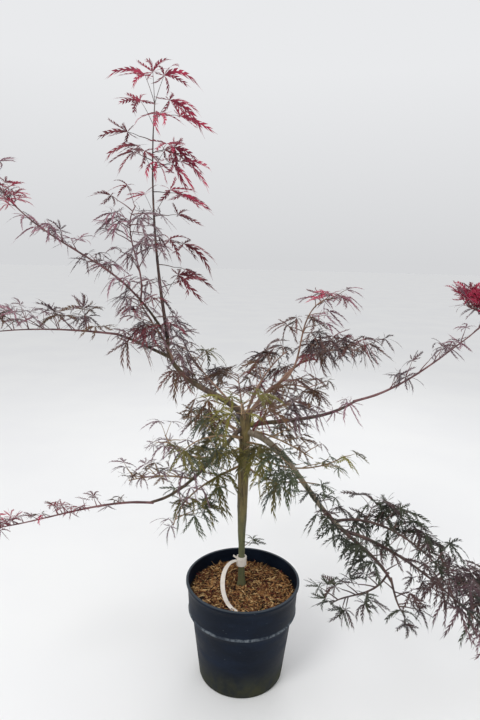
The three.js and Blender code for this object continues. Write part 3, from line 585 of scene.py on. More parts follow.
def stays_in_space(points, own, margin):
    """True where every point keeps clear of the limbs and is nearer to stem `own` than to others.
    A bough's own leaves have no stem, and only keep clear of the limbs."""
    starts, ends, radii = LIMB_LINES
    if (distances(points, starts, ends) - radii < LIMB_CLEARANCE).any():
        return False
    if own is None:
        return True
    starts, ends, radii = STEM_LINES
    reach = distances(points, starts, ends) - radii
    mine = STEM_OF_LINE == own
    return bool((reach[:, ~mine].min(1) > reach[:, mine].min(1) + margin).all())


class Leaf(NamedTuple):
    root: np.ndarray
    centre: np.ndarray
    forward: np.ndarray
    side: np.ndarray
    normal: np.ndarray
    length: float
    reach: np.ndarray
    tips: np.ndarray
    tint: str


def plan_leaf(root, heading, rise, stalk, length, hang, tint):
    centre = root + direction(heading, rise) * stalk
    forward = direction(heading, rise - hang)
    side = unit(np.cross(UP, forward))
    angles = np.radians(LOBE_ANGLES)[:, None]
    reach = (length * LOBE_SHARES)[:, None]
    fall = LOBE_DROOP * reach * LOBE_SHARES[:, None]
    tips = centre + forward * reach * np.cos(angles) + side * reach * np.sin(angles) - UP * fall
    halfway = root + (centre - root) * STALK_CHECK
    rib_points = [centre + (tips - centre) * share for share in RIB_CHECKS]
    points = np.vstack([*rib_points, centre, halfway])
    normal = np.cross(forward, side)
    return Leaf(root, centre, forward, side, normal, length, points, tips, tint)


class Growth:
    """The twigs and leaves of one mass, or of a stretch that adds to it."""

    def __init__(self, mass, seed, index, stem):
        self.mass = mass
        self.seed = seed
        self.index = index
        self.stem = stem
        self.length = np.linalg.norm(np.diff(stem.points, axis=0), axis=1).sum()
        self.leaves = []
        self.twigs = []
        self.tint = mass.inner.split()[0]

    def pick_tint(self, t, *keys):
        """Deals out one tint to a spray at the share `t` of the stem."""
        names = self.mass.outer if chance(*keys, TINT_KEY) < t else self.mass.inner
        tints = names.split()
        self.tint = tints[int(len(tints) * chance(*keys, TINT_KEY + 1))]

    def clear_of_leaves(self, leaf, clearance):
        if not self.leaves:
            return True
        ribs = [np.vstack([other.tips, other.centre]) for other in self.leaves]
        starts = np.concatenate([
            np.vstack([np.tile(other.centre, (len(other.tips), 1)), other.root])
            for other in self.leaves
        ])
        return bool((distances(leaf.reach, starts, np.concatenate(ribs)) > clearance).all())

    def leaf(self, root, heading, rise, stalk, length, hang, fine=False):
        """Adds a leaf if one fits, smaller at each try, and returns it."""
        margin = FINE_MARGIN if fine else SPACE_MARGIN
        clearance = FINE_CLEARANCE if fine else LEAF_CLEARANCE
        if fine:
            hang += HABITS[self.mass.habit].loll * chance(self.seed, len(self.leaves), int(heading))
        for attempt in range(LEAF_TRIES):
            size = length * SHRINK_PER_TRY ** attempt
            leaf = plan_leaf(root, heading, rise, stalk, size, hang, self.tint)
            fits = stays_in_space(leaf.reach, self.index, margin)
            if fits and self.clear_of_leaves(leaf, clearance):
                self.leaves.append(leaf)
                return leaf
        return None

    def ahead_at(self, t):
        return unit(self.stem.at(min(t + SIGHT, 1)) - self.stem.at(max(t - SIGHT, 0)))

    def spray(self, t, keys, size=1.0, fine=False):
        """One side twig that ends in a leaf and bears another at its middle."""
        mass = self.mass
        foot = self.stem.at(t)
        ahead = self.ahead_at(t)
        steep = abs(ahead[2]) > STEEP_SINE
        near, far = STEEP_SPREAD if steep else LEVEL_SPREAD
        facing = STEEP_FACING if steep else heading_of(ahead)
        hand = 1 if sum(keys) % 2 else -1
        heading = facing + hand * vary(near, far - near, *keys, 1)
        rise = vary(LOWEST_TWIG_RISE + mass.lift, TWIG_RISE_RANGE, *keys, 2)
        length = size * mass.twig * vary(*TWIG_SIZES, *keys, 3)
        leaf = size * mass.leaf * vary(*LEAF_SIZES, *keys, 4)
        stalk = length + leaf * STALK_SHARE
        end = self.leaf(foot, heading, rise, stalk, leaf, mass.hang, fine)
        if end is None:
            return False
        node = foot + (end.centre - foot) * (length / stalk)
        self.leaves[-1] = end._replace(root=node)
        across = heading + hand * SECOND_LEAF_TURN
        self.leaf(node, across, rise, leaf * STALK_SHARE, leaf, mass.hang, fine)
        self.twigs.append((foot, node, heading, rise, leaf))
        return True

    def main_leaves(self):
        """The stem's tip leaves and its main sprays, as in the solids."""
        mass = self.mass
        onward = unit(self.stem.points[-1] - self.stem.points[-2])
        steep = onward[2] > STEEP_SINE
        self.pick_tint(1, self.seed)
        facing = STEEP_FACING if steep else heading_of(onward)
        for turn in STEEP_TIP_TURNS if steep else LEVEL_TIP_TURNS:
            root = self.stem.points[-1] - onward * ROOT_DEPTH
            rise = STEEP_TIP_RISE if steep else LEVEL_TIP_RISE
            stalk = mass.leaf * STALK_SHARE * (STEEP_TIP_STALK if steep else 1)
            hang = mass.hang + (STEEP_TIP_RISE / 2 if steep else 0)
            self.leaf(root, facing + turn, rise, stalk, mass.leaf, hang)
        for k in range(mass.sprays):
            t = STEM_BARE_SHARE + (1 - STEM_BARE_SHARE) * ((k + 0.5) / mass.sprays)
            self.pick_tint(t, self.seed, k)
            for attempt in range(TWIG_TRIES):
                if self.spray(t, (self.seed, k, attempt)):
                    break

    def finer_leaves(self):
        """Smaller sprays between the main ones, leaf pairs on the stem and more on the twigs."""
        mass, habit = self.mass, HABITS[self.mass.habit]
        main_twigs = list(self.twigs)
        for k, (_, node, heading, rise, leaf) in enumerate(main_twigs):
            self.pick_tint(k / len(main_twigs), self.seed, FORK_KEY, k)
            for side, turn in enumerate(FORK_TURNS[:habit.forks]):
                size = leaf * habit.pair * vary(*FORK_SIZES, self.seed, FORK_KEY, k, side)
                self.leaf(node, heading + turn, rise + FORK_RISE, size * FORK_STALK, size,
                          mass.hang + FORK_HANG, True)
        count = habit.sprays * mass.sprays
        bare = STEM_BARE_SHARE if isinstance(mass, Mass) else 0
        for k in range(count):
            t = bare + (1 - bare) * ((k + FINE_SPRAY_PLACE) / count)
            self.pick_tint(t, self.seed, FINE_SPRAY_KEY, k)
            for attempt in range(TWIG_TRIES // 2):
                if self.spray(t, (self.seed, FINE_SPRAY_KEY + k, attempt), habit.spray, True):
                    break
        self.stem_pairs(habit)

    def stem_pairs(self, habit):
        """Opposite leaves straight on the stem; each pair on a steep one turns from the last."""
        mass = self.mass
        least, more = PAIR_SIZES
        count = int(self.length * (1 - PAIR_START) / habit.spacing)
        for k in range(count):
            t = PAIR_START + (1 - PAIR_START) * ((k + 0.5) / count)
            ahead = self.ahead_at(t)
            steep = abs(ahead[2]) > STEEP_SINE
            self.pick_tint(t, self.seed, PAIR_KEY, k)
            for side, hand in enumerate((1, -1)):
                draw = chance(self.seed, PAIR_KEY, k, side)
                if steep:
                    turn = STEEP_PAIR_TURNS[k % 2] + STEEP_PAIR_RANGE * (draw - 0.5)
                    heading, rise = STEEP_FACING + hand * turn, STEEP_PAIR_RISE
                else:
                    turn = LEVEL_PAIR_TURN + LEVEL_PAIR_RANGE * draw
                    heading = heading_of(ahead) + hand * turn
                    rise = habit.pair_rise + mass.lift / 2
                size = mass.leaf * habit.pair * (least + more * draw)
                self.leaf(self.stem.at(t), heading, rise, size * PAIR_STALK, size,
                          mass.hang + rise + PAIR_HANG, True)


def stretch_of(limb, start, end):
    """The part of a limb between two shares of its length."""
    shares = np.linspace(start, end, LIMB_STEPS + 1)
    points = np.array([limb.at(share) for share in shares])
    radii = np.interp(shares, np.linspace(0, 1, len(limb.radii)), limb.radii)
    return Limb(limb.name, points, radii)


def grow_stretch(spec, seed):
    """The growth of a leafy stretch; on a mass's own stem it keeps to that mass's space."""
    owners = [k for k, mass in enumerate(MASSES) if mass.name == spec.parent]
    index = owners[0] if owners else None
    limb = stems[index] if owners else limbs[spec.parent]
    return Growth(spec, seed, index, stretch_of(limb, spec.start, spec.end))


growths = [Growth(mass, k + 1, k, stems[k]) for k, mass in enumerate(MASSES)]
for growth in growths:
    growth.main_leaves()
for growth in growths:
    growth.finer_leaves()
stretches = [grow_stretch(spec, STRETCH_KEY + k) for k, spec in enumerate(STRETCHES)]
for growth in stretches:
    growth.finer_leaves()
everything = growths + stretches

# ---- meshes ------------------------------------------------------------------------------------


def make_piece(name, points, faces, finish, smooth=True):
    """A mesh object from corners in millimetres and faces with one number of corners each."""
    faces = np.asarray(faces)
    count, corners = faces.shape
    mesh = bpy.data.meshes.new(name)
    mesh.vertices.add(len(points))
    mesh.vertices.foreach_set("co", (np.asarray(points) * MM).astype(np.float32).ravel())
    mesh.loops.add(count * corners)
    mesh.loops.foreach_set("vertex_index", faces.astype(np.int32).ravel())
    mesh.polygons.add(count)
    mesh.polygons.foreach_set("loop_start", np.arange(0, count * corners, corners, dtype=np.int32))
    mesh.update(calc_edges=True)
    mesh.polygons.foreach_set("use_smooth", np.full(count, smooth))
    mesh.materials.append(finish.material)
    piece = bpy.data.objects.new(name, mesh)
    bpy.context.scene.collection.objects.link(piece)
    return piece


def add_piece(piece, slot, *nodes):
    """Puts a piece on the one body and in place of its nodes; `slot` is not used."""
    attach(piece, "root")
    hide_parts(*nodes)


def merged(parts):
    """Corner and face arrays of several (points, faces) pairs as one pair."""
    shifts = np.cumsum([0] + [len(points) for points, _ in parts[:-1]])
    points = np.concatenate([points for points, _ in parts])
    faces = np.concatenate([faces + shift for (_, faces), shift in zip(parts, shifts)])
    return points, faces


def grid_faces(rows, columns, closed=True):
    """Quads between rows of corners; a closed grid joins its last column to its first."""
    across = columns if closed else columns - 1
    i, k = np.meshgrid(np.arange(rows - 1), np.arange(across), indexing="ij")
    a, b = i * columns + k, i * columns + (k + 1) % columns
    return np.stack([a, b, b + columns, a + columns], axis=-1).reshape(-1, 4)


def smooth_path(points, radii, spacing):
    """The path and its radii as a smooth curve, with a corner about every `spacing`."""
    steps = max(round(np.linalg.norm(np.diff(points, axis=0), axis=1).mean() / spacing), 1)
    rows = np.column_stack([points, radii])
    rows = np.vstack([2 * rows[0] - rows[1], rows, 2 * rows[-1] - rows[-2]])
    before, start, end, after = rows[:-3], rows[1:-2], rows[2:-1], rows[3:]
    t = (np.arange(steps) / steps)[:, None, None]
    square = 2 * before - 5 * start + 4 * end - after
    cube = 3 * start - before - 3 * end + after
    curve = 0.5 * (2 * start + (end - before) * t + square * t ** 2 + cube * t ** 3)
    curve = np.vstack([curve.transpose(1, 0, 2).reshape(-1, 4), rows[-2]])
    return curve[:, :3], curve[:, 3]


def rings_round(points, radii, sides):
    """Rings of corners round a path; `radii` has one value a ring, or one a corner."""
    ahead = np.gradient(points, axis=0)
    ahead /= np.linalg.norm(ahead, axis=1)[:, None]
    across = unit(np.cross(UP if abs(ahead[0, 2]) < 0.9 else np.array([1.0, 0, 0]), ahead[0]))
    turns = np.linspace(0, 2 * np.pi, sides, endpoint=False)
    radii = np.broadcast_to(np.asarray(radii).reshape(len(points), -1), (len(points), sides))
    rings = []
    for point, along, radius in zip(points, ahead, radii):
        across = unit(across - along * across.dot(along))
        other = np.cross(along, across)
        rings.append(point + np.outer(radius * np.cos(turns), across)
                     + np.outer(radius * np.sin(turns), other))
    return np.array(rings)


def closed_ends(points, rings):
    """Corners and quads of the rings round a path, drawn together to a point at each end."""
    sides = rings.shape[1]
    first, last = (np.repeat(points[[i]], sides, axis=0) for i in (0, -1))
    rows = np.concatenate([[first], rings, [last]])
    return rows.reshape(-1, 3), grid_faces(len(rows), sides)


def tube(points, radii, sides):
    return closed_ends(points, rings_round(points, radii, sides))


def lathe(profile, sides=POT_SIDES):
    """A surface turned round the Z axis from (radius, height) corners."""
    radius, height = np.array(profile, float).T
    turns = np.linspace(0, 2 * np.pi, sides, endpoint=False)
    x, y = np.outer(radius, np.cos(turns)), np.outer(radius, np.sin(turns))
    rings = np.stack([x, y, np.repeat(height[:, None], sides, axis=1)], axis=-1)
    return rings.reshape(-1, 3), grid_faces(len(profile), sides)


# ---- finishes ----------------------------------------------------------------------------------


class Value:
    """A shader socket whose operators add Math nodes."""

    def __init__(self, nodes, socket):
        self.nodes = nodes
        self.socket = socket

    def math(self, operation, first, second):
        return self.nodes.node("ShaderNodeMath", {"operation": operation}, [first, second])

    def __add__(self, other):
        return self.math("ADD", self, other)

    __radd__ = __add__

    def __sub__(self, other):
        return self.math("SUBTRACT", self, other)

    def __rsub__(self, other):
        return self.math("SUBTRACT", other, self)

    def __mul__(self, other):
        return self.math("MULTIPLY", self, other)

    __rmul__ = __mul__


def srgb(red, green, blue):
    """A colour from its 0 to 255 screen values."""
    channels = [channel / 255 for channel in (red, green, blue)]
    linear = [c / 12.92 if c <= 0.04045 else ((c + 0.055) / 1.055) ** 2.4 for c in channels]
    return (*linear, 1)


class Nodes:
    """The nodes of a material or of the world, and the surface that they feed."""

    def __init__(self, owner, surface):
        owner.use_nodes = True
        self.tree = owner.node_tree
        self.surface = self.tree.nodes[surface]

    def put(self, socket, value):
        if isinstance(value, Value):
            self.tree.links.new(value.socket, socket)
        else:
            socket.default_value = value

    def set(self, socket, value):
        self.put(self.surface.inputs[socket], value)

    def node(self, kind, settings=None, inputs=(), output=0):
        """Adds a node, with its settings first and then the values or links of its sockets."""
        node = self.tree.nodes.new(kind)
        for key, value in (settings or {}).items():
            setattr(node, key, value)
        pairs = inputs.items() if isinstance(inputs, dict) else enumerate(inputs)
        for key, value in pairs:
            self.put(node.inputs[key], value)
        return Value(self, node.outputs[output])

    def mix(self, factor, *colours):
        """Two colours mixed; each is a link or its 0 to 255 screen values."""
        first, second = (c if isinstance(c, Value) else srgb(*c) for c in colours)
        inputs = {0: factor, 6: first, 7: second}
        return self.node("ShaderNodeMix", {"data_type": "RGBA"}, inputs, 2)


class Finish(Nodes):
    """A material with a Principled surface."""

    def __init__(self, name, roughness=0.6, specular=0.5):
        self.material = bpy.data.materials.new(name)
        super().__init__(self.material, "Principled BSDF")
        self.set("Specular IOR Level", specular)
        self.set("Roughness", roughness)

    def place(self, stretch=(1, 1, 1)):
        """The point's place in metres, scaled along each axis."""
        position = self.node("ShaderNodeTexCoord", output="Object")
        return self.node("ShaderNodeMapping", None, {"Vector": position, "Scale": stretch})

    def height(self):
        """The point's height in metres."""
        position = self.node("ShaderNodeTexCoord", output="Object")
        return self.node("ShaderNodeSeparateXYZ", None, [position], "Z")

    def noise(self, scale, stretch=(1, 1, 1), detail=3, roughness=0.55):
        place = self.place(stretch)
        inputs = {"Vector": place, "Scale": scale, "Detail": detail, "Roughness": roughness}
        return self.node("ShaderNodeTexNoise", None, inputs)

    def band(self, value, low, high):
        """0 below `low`, 1 above `high` and smooth between; `high` may be the lower one."""
        settings = {"interpolation_type": "SMOOTHSTEP"}
        return self.node("ShaderNodeMapRange", settings, {"Value": value, 1: low, 2: high})

    def bump(self, height, distance, strength=1):
        inputs = {"Height": height, "Distance": distance, "Strength": strength}
        self.set("Normal", self.node("ShaderNodeBump", None, inputs))


def pot_plastic():
    """Dark moulded plastic: chalky bloom, scuffs round the wall, a rubbed bead, dried earth and a
    painted highlight along the top of the rim.
    """
    finish = Finish("pot_plastic", specular=0.1)
    height = finish.height()
    bloom = finish.band(finish.noise(9, (1, 1, 2.2), 5), 0.4, 0.75)
    scuffs = finish.band(finish.noise(70, (1, 1, 7), 6, 0.7), 0.62, 0.74)
    flecks = finish.band(finish.noise(150, (1, 1, 1.6), 3), 0.7, 0.76)
    colour = finish.mix(bloom, (13, 21, 33), (24, 34, 50))
    colour = finish.mix(scuffs * 0.3, colour, (78, 88, 98))
    colour = finish.mix(flecks * 0.4, colour, (104, 112, 116))
    splashes = finish.band(finish.noise(24, (1, 1, 0.6), 6, 0.7), 0.34, 0.66)
    low = finish.band(height, 0.09, 0.0)
    earth = low * (0.25 + splashes * 0.6)
    colour = finish.mix(earth, colour, (66, 66, 44))
    wander = (finish.noise(60, detail=4) - 0.5) * 0.006
    ledge = height + wander
    foot = BAND_FOOT_HEIGHT * MM
    rubbed = finish.band(ledge, foot - 0.007, foot - 0.001)
    rubbed = rubbed * finish.band(ledge, foot + 0.006, foot + 0.001)
    patchy = finish.band(finish.noise(17, detail=2), 0.36, 0.56)
    broken = finish.band(finish.noise(170, (1, 1, 0.5), 5, 0.7), 0.34, 0.6)
    chalk = rubbed * (0.2 + patchy * 0.8) * broken
    colour = finish.mix(rubbed * 0.35, colour, (58, 66, 76))
    colour = finish.mix(chalk * 0.6, colour, (132, 140, 146))
    # Painted highlight: a lighter band along the top of the rim's lip.
    rim_highlight = finish.band(height, (POT_HEIGHT - 2.2) * MM, (POT_HEIGHT - 0.6) * MM)
    colour = finish.mix(rim_highlight * 0.35, colour, (98, 106, 112))
    finish.set("Base Color", colour)
    finish.set("Roughness", 0.44 + bloom * 0.2 + earth * 0.3 + chalk * 0.3)
    grain = finish.noise(900, detail=2)
    finish.bump(grain + finish.noise(60, (1, 1, 3)) * 2 + chalk, 0.00035, 0.35)
    return finish


def earthy(name, dark, light, scale):
    """Chips, fibres and fines of the growing medium."""
    finish = Finish(name, 0.9, 0.25)
    grain = finish.noise(scale, detail=5, roughness=0.65)
    finish.set("Base Color", finish.mix(finish.band(grain, 0.32, 0.7), dark, light))
    finish.bump(grain, 0.0016, 0.7)
    return finish


def bark(name, dark, light, streak, streak_amount, foot_tint):
    """Young bark: stretched streaks, small pale pores and a paler or greener foot."""
    finish = Finish(name, 0.62, 0.35)
    streaks = finish.noise(150, (1, 1, 0.09), 5, 0.6)
    patches = finish.band(finish.noise(42, (1, 1, 0.45), 4), 0.4, 0.64)
    pores = finish.band(finish.noise(520, (1, 1, 0.6), 1), 0.66, 0.74)
    colour = finish.mix(finish.band(streaks, 0.36, 0.66), dark, light)
    colour = finish.mix(patches * streak_amount, colour, streak)
    low = finish.band(finish.height(), *BARK_LOW)
    colour = finish.mix(low * 0.65, colour, foot_tint)
    colour = finish.mix(pores * 0.45, colour, (150, 138, 112))
    finish.set("Base Color", colour)
    finish.set("Roughness", 0.5 + streaks * 0.25)
    finish.bump(streaks + pores * 0.3, 0.0012, 0.6)
    return finish


def shoot_skin(name, dark, light):
    """The smooth skin of this year's shoots and leaf stalks."""
    finish = Finish(name, 0.5, 0.4)
    blush = finish.noise(34, detail=3)
    finish.set("Base Color", finish.mix(finish.band(blush, 0.36, 0.64), dark, light))
    finish.bump(finish.noise(400, (1, 1, 0.3), 2), 0.0003, 0.4)
    return finish


def leaf_skin(name, tint, shade, glint):
    """A leaf's tint with its lighter and deeper places, duller where it is deeper."""
    finish = Finish(name, 0.5, 0.35)
    cloud = finish.noise(16, detail=2)
    mottle = finish.noise(130, detail=4, roughness=0.6)
    colour = finish.mix(finish.band(cloud, 0.38, 0.62), shade, tint)
    colour = finish.mix(finish.band(mottle, 0.5, 0.75) * 0.45, colour, glint)
    finish.set("Base Color", colour)
    finish.set("Roughness", 0.42 + mottle * 0.25)
    finish.bump(mottle, 0.0006, 0.35)
    return finish


def label_plastic():
    finish = Finish("label_plastic", 0.45, 0.4)
    dust = finish.band(finish.noise(60, detail=5), 0.45, 0.7)
    finish.set("Base Color", finish.mix(dust * 0.35, (230, 222, 212), (186, 170, 154)))
    finish.set("Roughness", 0.38 + dust * 0.3)
    finish.bump(finish.noise(700, detail=2), 0.0002, 0.3)
    return finish


# Each tint: its slot in the record, how full its blades are, then the leaf's main, deeper and
# lighter colours.
LEAF_TINTS = {
    "crimson": ("foliage_crimson", 1.05, (170, 44, 74), (118, 33, 54), (198, 92, 114)),
    "deep_red": ("foliage_crimson", 0.95, (118, 46, 56), (84, 36, 42), (150, 84, 90)),
    "mauve_pink": ("foliage_mauve", 0.75, (140, 90, 104), (108, 70, 82), (170, 130, 140)),
    "mauve_grey": ("foliage_mauve", 0.8, (114, 88, 94), (86, 66, 72), (150, 126, 132)),
    "plum": ("foliage_mauve", 0.85, (90, 64, 68), (66, 48, 52), (124, 100, 106)),
    "bronze": ("foliage_olive", 0.95, (112, 70, 54), (84, 48, 42), (140, 108, 82)),
    "olive": ("foliage_olive", 1.15, (90, 84, 34), (64, 58, 26), (120, 112, 56)),
    "yellow_green": ("foliage_olive", 1.15, (114, 108, 40), (88, 82, 34), (140, 134, 64)),
    "brown_olive": ("foliage_olive", 1.05, (88, 60, 38), (62, 42, 28), (118, 92, 64)),
    "dark_purple": ("foliage_dark_purple", 0.9, (84, 62, 62), (62, 46, 48), (112, 94, 98)),
    "purple_brown": ("foliage_dark_purple", 0.95, (100, 66, 60), (72, 48, 44), (126, 98, 90)),
    "deep_brown": ("foliage_dark_purple", 1.25, (68, 46, 44), (44, 30, 30), (96, 72, 72)),
    "grey_green": ("foliage_grey_green", 1.05, (66, 74, 50), (46, 52, 36), (98, 108, 82)),
    "dark_green": ("foliage_grey_green", 1.3, (48, 52, 34), (32, 35, 25), (78, 82, 60)),
    "blue_green": ("foliage_grey_green", 0.95, (54, 64, 52), (38, 46, 40), (84, 96, 82)),
}
SHOOT_TINTS = {
    "red": ((84, 52, 54), (120, 82, 82)),
    "dark": ((58, 42, 40), (88, 66, 58)),
    "brown": ((100, 74, 62), (144, 112, 94)),
    "olive": ((112, 88, 60), (150, 124, 92)),
}

# ---- pot and growing medium --------------------------------------------------------------------


def wall_radius(height):
    if height >= BAND_FOOT_HEIGHT:
        share = (height - BAND_FOOT_HEIGHT) / (POT_HEIGHT - BAND_FOOT_HEIGHT)
        return BAND_FOOT_RADIUS + (POT_RIM_RADIUS - RIM_LIP_WIDTH - BAND_FOOT_RADIUS) * share
    share = height / BAND_FOOT_HEIGHT
    return POT_FOOT_RADIUS + (BAND_FOOT_RADIUS - BAND_STEP - POT_FOOT_RADIUS) * share


def arc(centre, radius, start, end, steps=5):
    """Profile corners on an arc between two angles."""
    turns = np.radians(np.linspace(start, end, steps))
    return [(centre[0] + radius * math.cos(a), centre[1] + radius * math.sin(a)) for a in turns]


def pot_profile():
    """The pot's section from the middle of its underside, out, up and down the inside."""
    ledge = BAND_FOOT_HEIGHT
    lip_foot = POT_HEIGHT - RIM_LIP_HEIGHT
    over, under = LIP_ROUNDING, LIP_UNDER_ROUNDING
    corner = FOOT_ROUNDING
    lower_heights = np.linspace(corner + 1, ledge - BEAD_ROOM, WALL_RINGS)
    lower_wall = [(wall_radius(h), h) for h in lower_heights]
    bead_middle = (wall_radius(ledge) - BEAD_INSET, ledge - BEAD_DROP)
    bead = arc(bead_middle, BEAD_RADIUS, -BEAD_SWEEP, BEAD_SWEEP, 9)
    band_heights = np.linspace(ledge + LEDGE_ROOM, lip_foot - 1, BAND_RINGS)
    band = [(wall_radius(h), h) for h in band_heights]
    inner_middle = wall_radius(POT_HEIGHT) - POT_WALL + INNER_ROUNDING
    lip = [
        *arc((POT_RIM_RADIUS - under, lip_foot + under), under, -90, 0),
        *arc((POT_RIM_RADIUS - over, POT_HEIGHT - over), over, 0, 90),
        *arc((inner_middle, POT_HEIGHT - INNER_ROUNDING), INNER_ROUNDING, 90, 180),
    ]
    inner_ledge = ledge - INNER_LEDGE_DROP
    inner_heights = np.linspace(lip_foot + 1, ledge + LEDGE_ROOM, INSIDE_RINGS)
    inside = [(wall_radius(h) - POT_WALL, h) for h in (*inner_heights, inner_ledge)]
    inside += [(POT_FOOT_RADIUS - POT_WALL, POT_FLOOR), (0, POT_FLOOR)]
    foot = [(0, 0), (POT_FOOT_RADIUS - corner - 2, 0)]
    foot += arc((POT_FOOT_RADIUS - corner, corner), corner, -90, -10)
    return [*foot, *lower_wall, *bead, *band, *lip, *inside]


def cut_drain_holes(pot):
    """Bores the holes through the pot's floor."""
    turns = 2 * np.pi * (np.arange(DRAIN_HOLE_COUNT) + 0.5) / DRAIN_HOLE_COUNT
    low, high = DRAIN_BORE
    bore = [(0, low), (DRAIN_HOLE_RADIUS, low), (DRAIN_HOLE_RADIUS, high), (0, high)]
    points, faces = lathe(bore, 32)
    across = DRAIN_CIRCLE_RADIUS * np.stack([np.cos(turns), np.sin(turns), 0 * turns], axis=-1)
    cutters = merged([(points + shift, faces) for shift in across])
    cutter = make_piece("drain_bores", *cutters, plastic)
    cut = pot.modifiers.new("drain", "BOOLEAN")
    cut.object = cutter
    cut.operation = "DIFFERENCE"
    cut.use_self = True
    bpy.context.view_layer.update()
    bored = pot.evaluated_get(bpy.context.evaluated_depsgraph_get())
    bored = bpy.data.meshes.new_from_object(bored)
    pot.modifiers.clear()
    pot.data = bored
    bpy.data.objects.remove(cutter)


def make_pot():
    points, faces = lathe(pot_profile())
    pot = make_piece("pot_shell", points, faces, plastic)
    shape = bmesh.new()
    shape.from_mesh(pot.data)
    bmesh.ops.remove_doubles(shape, verts=shape.verts, dist=WELD_REACH)
    shape.to_mesh(pot.data)
    shape.free()
    cut_drain_holes(pot)
    add_piece(pot, "pot", "pot")


def surface_height(x, y):
    """The medium's uneven top: a dip at the wall and low heaps."""
    reach = np.hypot(x, y) / wall_radius(MEDIUM_LEVEL)
    heaps = (1.6 * np.sin(x / 13 + 1.3) * np.cos(y / 17) + 1.2 * np.sin((x + y) / 7.5 + 0.4)
             + 0.9 * np.cos((x - 2 * y) / 9.1))
    dip = MEDIUM_EDGE_DIP * smoothstep(reach, MEDIUM_DIP_START, 1)
    return MEDIUM_LEVEL - MEDIUM_SINK - dip + heaps * (1 - reach ** 6)


def make_medium():
    """The fines that fill the pot, up to an uneven top."""
    inner = POT_WALL + FIT_GAP
    heights = [POT_FLOOR + FIT_GAP, BAND_FOOT_HEIGHT - INNER_LEDGE_DROP,
               BAND_FOOT_HEIGHT + LEDGE_ROOM, MEDIUM_LEVEL - MEDIUM_EDGE_DIP]
    sides = [(wall_radius(h) - inner, h) for h in heights]
    top = [(sides[-1][0] * share, MEDIUM_LEVEL) for share in np.linspace(0.985, 0, MEDIUM_RINGS)]
    points, faces = lathe([(0, heights[0]), *sides, *top])
    first_of_top = (1 + len(sides)) * POT_SIDES
    x, y = points[first_of_top:, 0], points[first_of_top:, 1]
    points[first_of_top:, 2] = surface_height(x, y)
    finish = earthy("fines", (22, 15, 11), (54, 36, 23), FINES_GRAIN)
    medium = make_piece("medium_fines", points, faces, finish)
    add_piece(medium, "growing_medium", "growing_medium")


def chip_shapes(draw, count, long, wide, thick):
    """Flat six-cornered splinters of bark, each about its own middle."""
    turns = np.linspace(0, 2 * np.pi, CHIP_CORNERS, endpoint=False)
    length = draw.uniform(*long, (count, 1))
    width = draw.uniform(*wide, (count, 1))
    depth = draw.uniform(*thick, (count, 1))
    rims = []
    for level, share in ((-0.5, 1), (0.5, CHIP_TOP_SHARE)):
        jitter = draw.uniform(*CHIP_JITTER, (count, CHIP_CORNERS))
        x = 0.5 * length * np.cos(turns) * jitter * share
        y = 0.5 * width * np.sin(turns) * jitter * share
        uneven = draw.uniform(-CHIP_UNEVENNESS, CHIP_UNEVENNESS, (count, CHIP_CORNERS))
        z = depth * (level + uneven)
        rims.append(np.stack([x, y, z], axis=-1))
    return np.concatenate(rims, axis=1)


def rolled(shapes, first, second, angles):
    """The shapes, each turned by its angle in the plane of two axes."""
    cos, sin = np.cos(angles)[:, None], np.sin(angles)[:, None]
    turned = shapes.copy()
    turned[..., first] = shapes[..., first] * cos - shapes[..., second] * sin
    turned[..., second] = shapes[..., first] * sin + shapes[..., second] * cos
    return turned


def scattered(draw, shapes, reach, lift):
    """Leans, turns and drops each shape on to the medium's surface, inside the pot's wall."""
    count = len(shapes)
    radius = reach * np.sqrt(draw.uniform(0, 1, count))
    angle = draw.uniform(0, 2 * np.pi, count)
    x, y = radius * np.cos(angle), radius * np.sin(angle)
    away = np.stack([x, y], axis=-1) - TRUNK_FOOT
    gap = np.linalg.norm(away, axis=1)
    crowd = np.maximum(0, TRUNK_RADIUS + ROOT_FLARE + CHIP_TRUNK_GAP - gap) / gap
    x, y = x + away[:, 0] * crowd, y + away[:, 1] * crowd
    level = surface_height(x, y) + lift * draw.uniform(0, 1, count)
    turned = rolled(shapes, 1, 2, draw.normal(0, CHIP_LEAN, count))
    turned = rolled(turned, 2, 0, draw.normal(0, CHIP_TIP, count))
    turned = rolled(turned, 0, 1, draw.uniform(0, 2 * np.pi, count))
    placed = turned + np.stack([x, y, level], axis=-1)[:, None]
    beyond = np.hypot(placed[..., 0], placed[..., 1]) / (reach + CHIP_OVERHANG)
    placed[..., :2] /= np.maximum(beyond, 1)[..., None]
    return placed


CHIP_TINTS = [
    ("tan", (144, 98, 56), (202, 154, 100), 0.24),
    ("straw", (200, 158, 100), (240, 210, 156), 0.12),
    ("brown", (84, 50, 30), (126, 82, 48), 0.26),
    ("reddish", (76, 32, 28), (112, 54, 44), 0.13),
    ("dark", (24, 15, 13), (44, 28, 22), 0.23),
    ("mossy", (60, 60, 30), (94, 94, 48), 0.02),
]
CHIP_FACES = np.array([
    [0, 1, 7, 6], [1, 2, 8, 7], [2, 3, 9, 8], [3, 4, 10, 9], [4, 5, 11, 10], [5, 0, 6, 11],
    [2, 1, 0, 5], [5, 4, 3, 2], [6, 7, 8, 11], [11, 8, 9, 10],
])


def lay_splinters(draw, name, shapes, lift, finish):
    """Lays splinters on the medium as one piece."""
    reach = wall_radius(MEDIUM_LEVEL) - POT_WALL - CHIP_WALL_GAP
    points = scattered(draw, shapes, reach, lift)
    faces = CHIP_FACES + points.shape[1] * np.arange(len(points))[:, None, None]
    piece = make_piece(name, points.reshape(-1, 3), faces.reshape(-1, 4), finish, False)
    add_piece(piece, "growing_medium", "growing_medium")


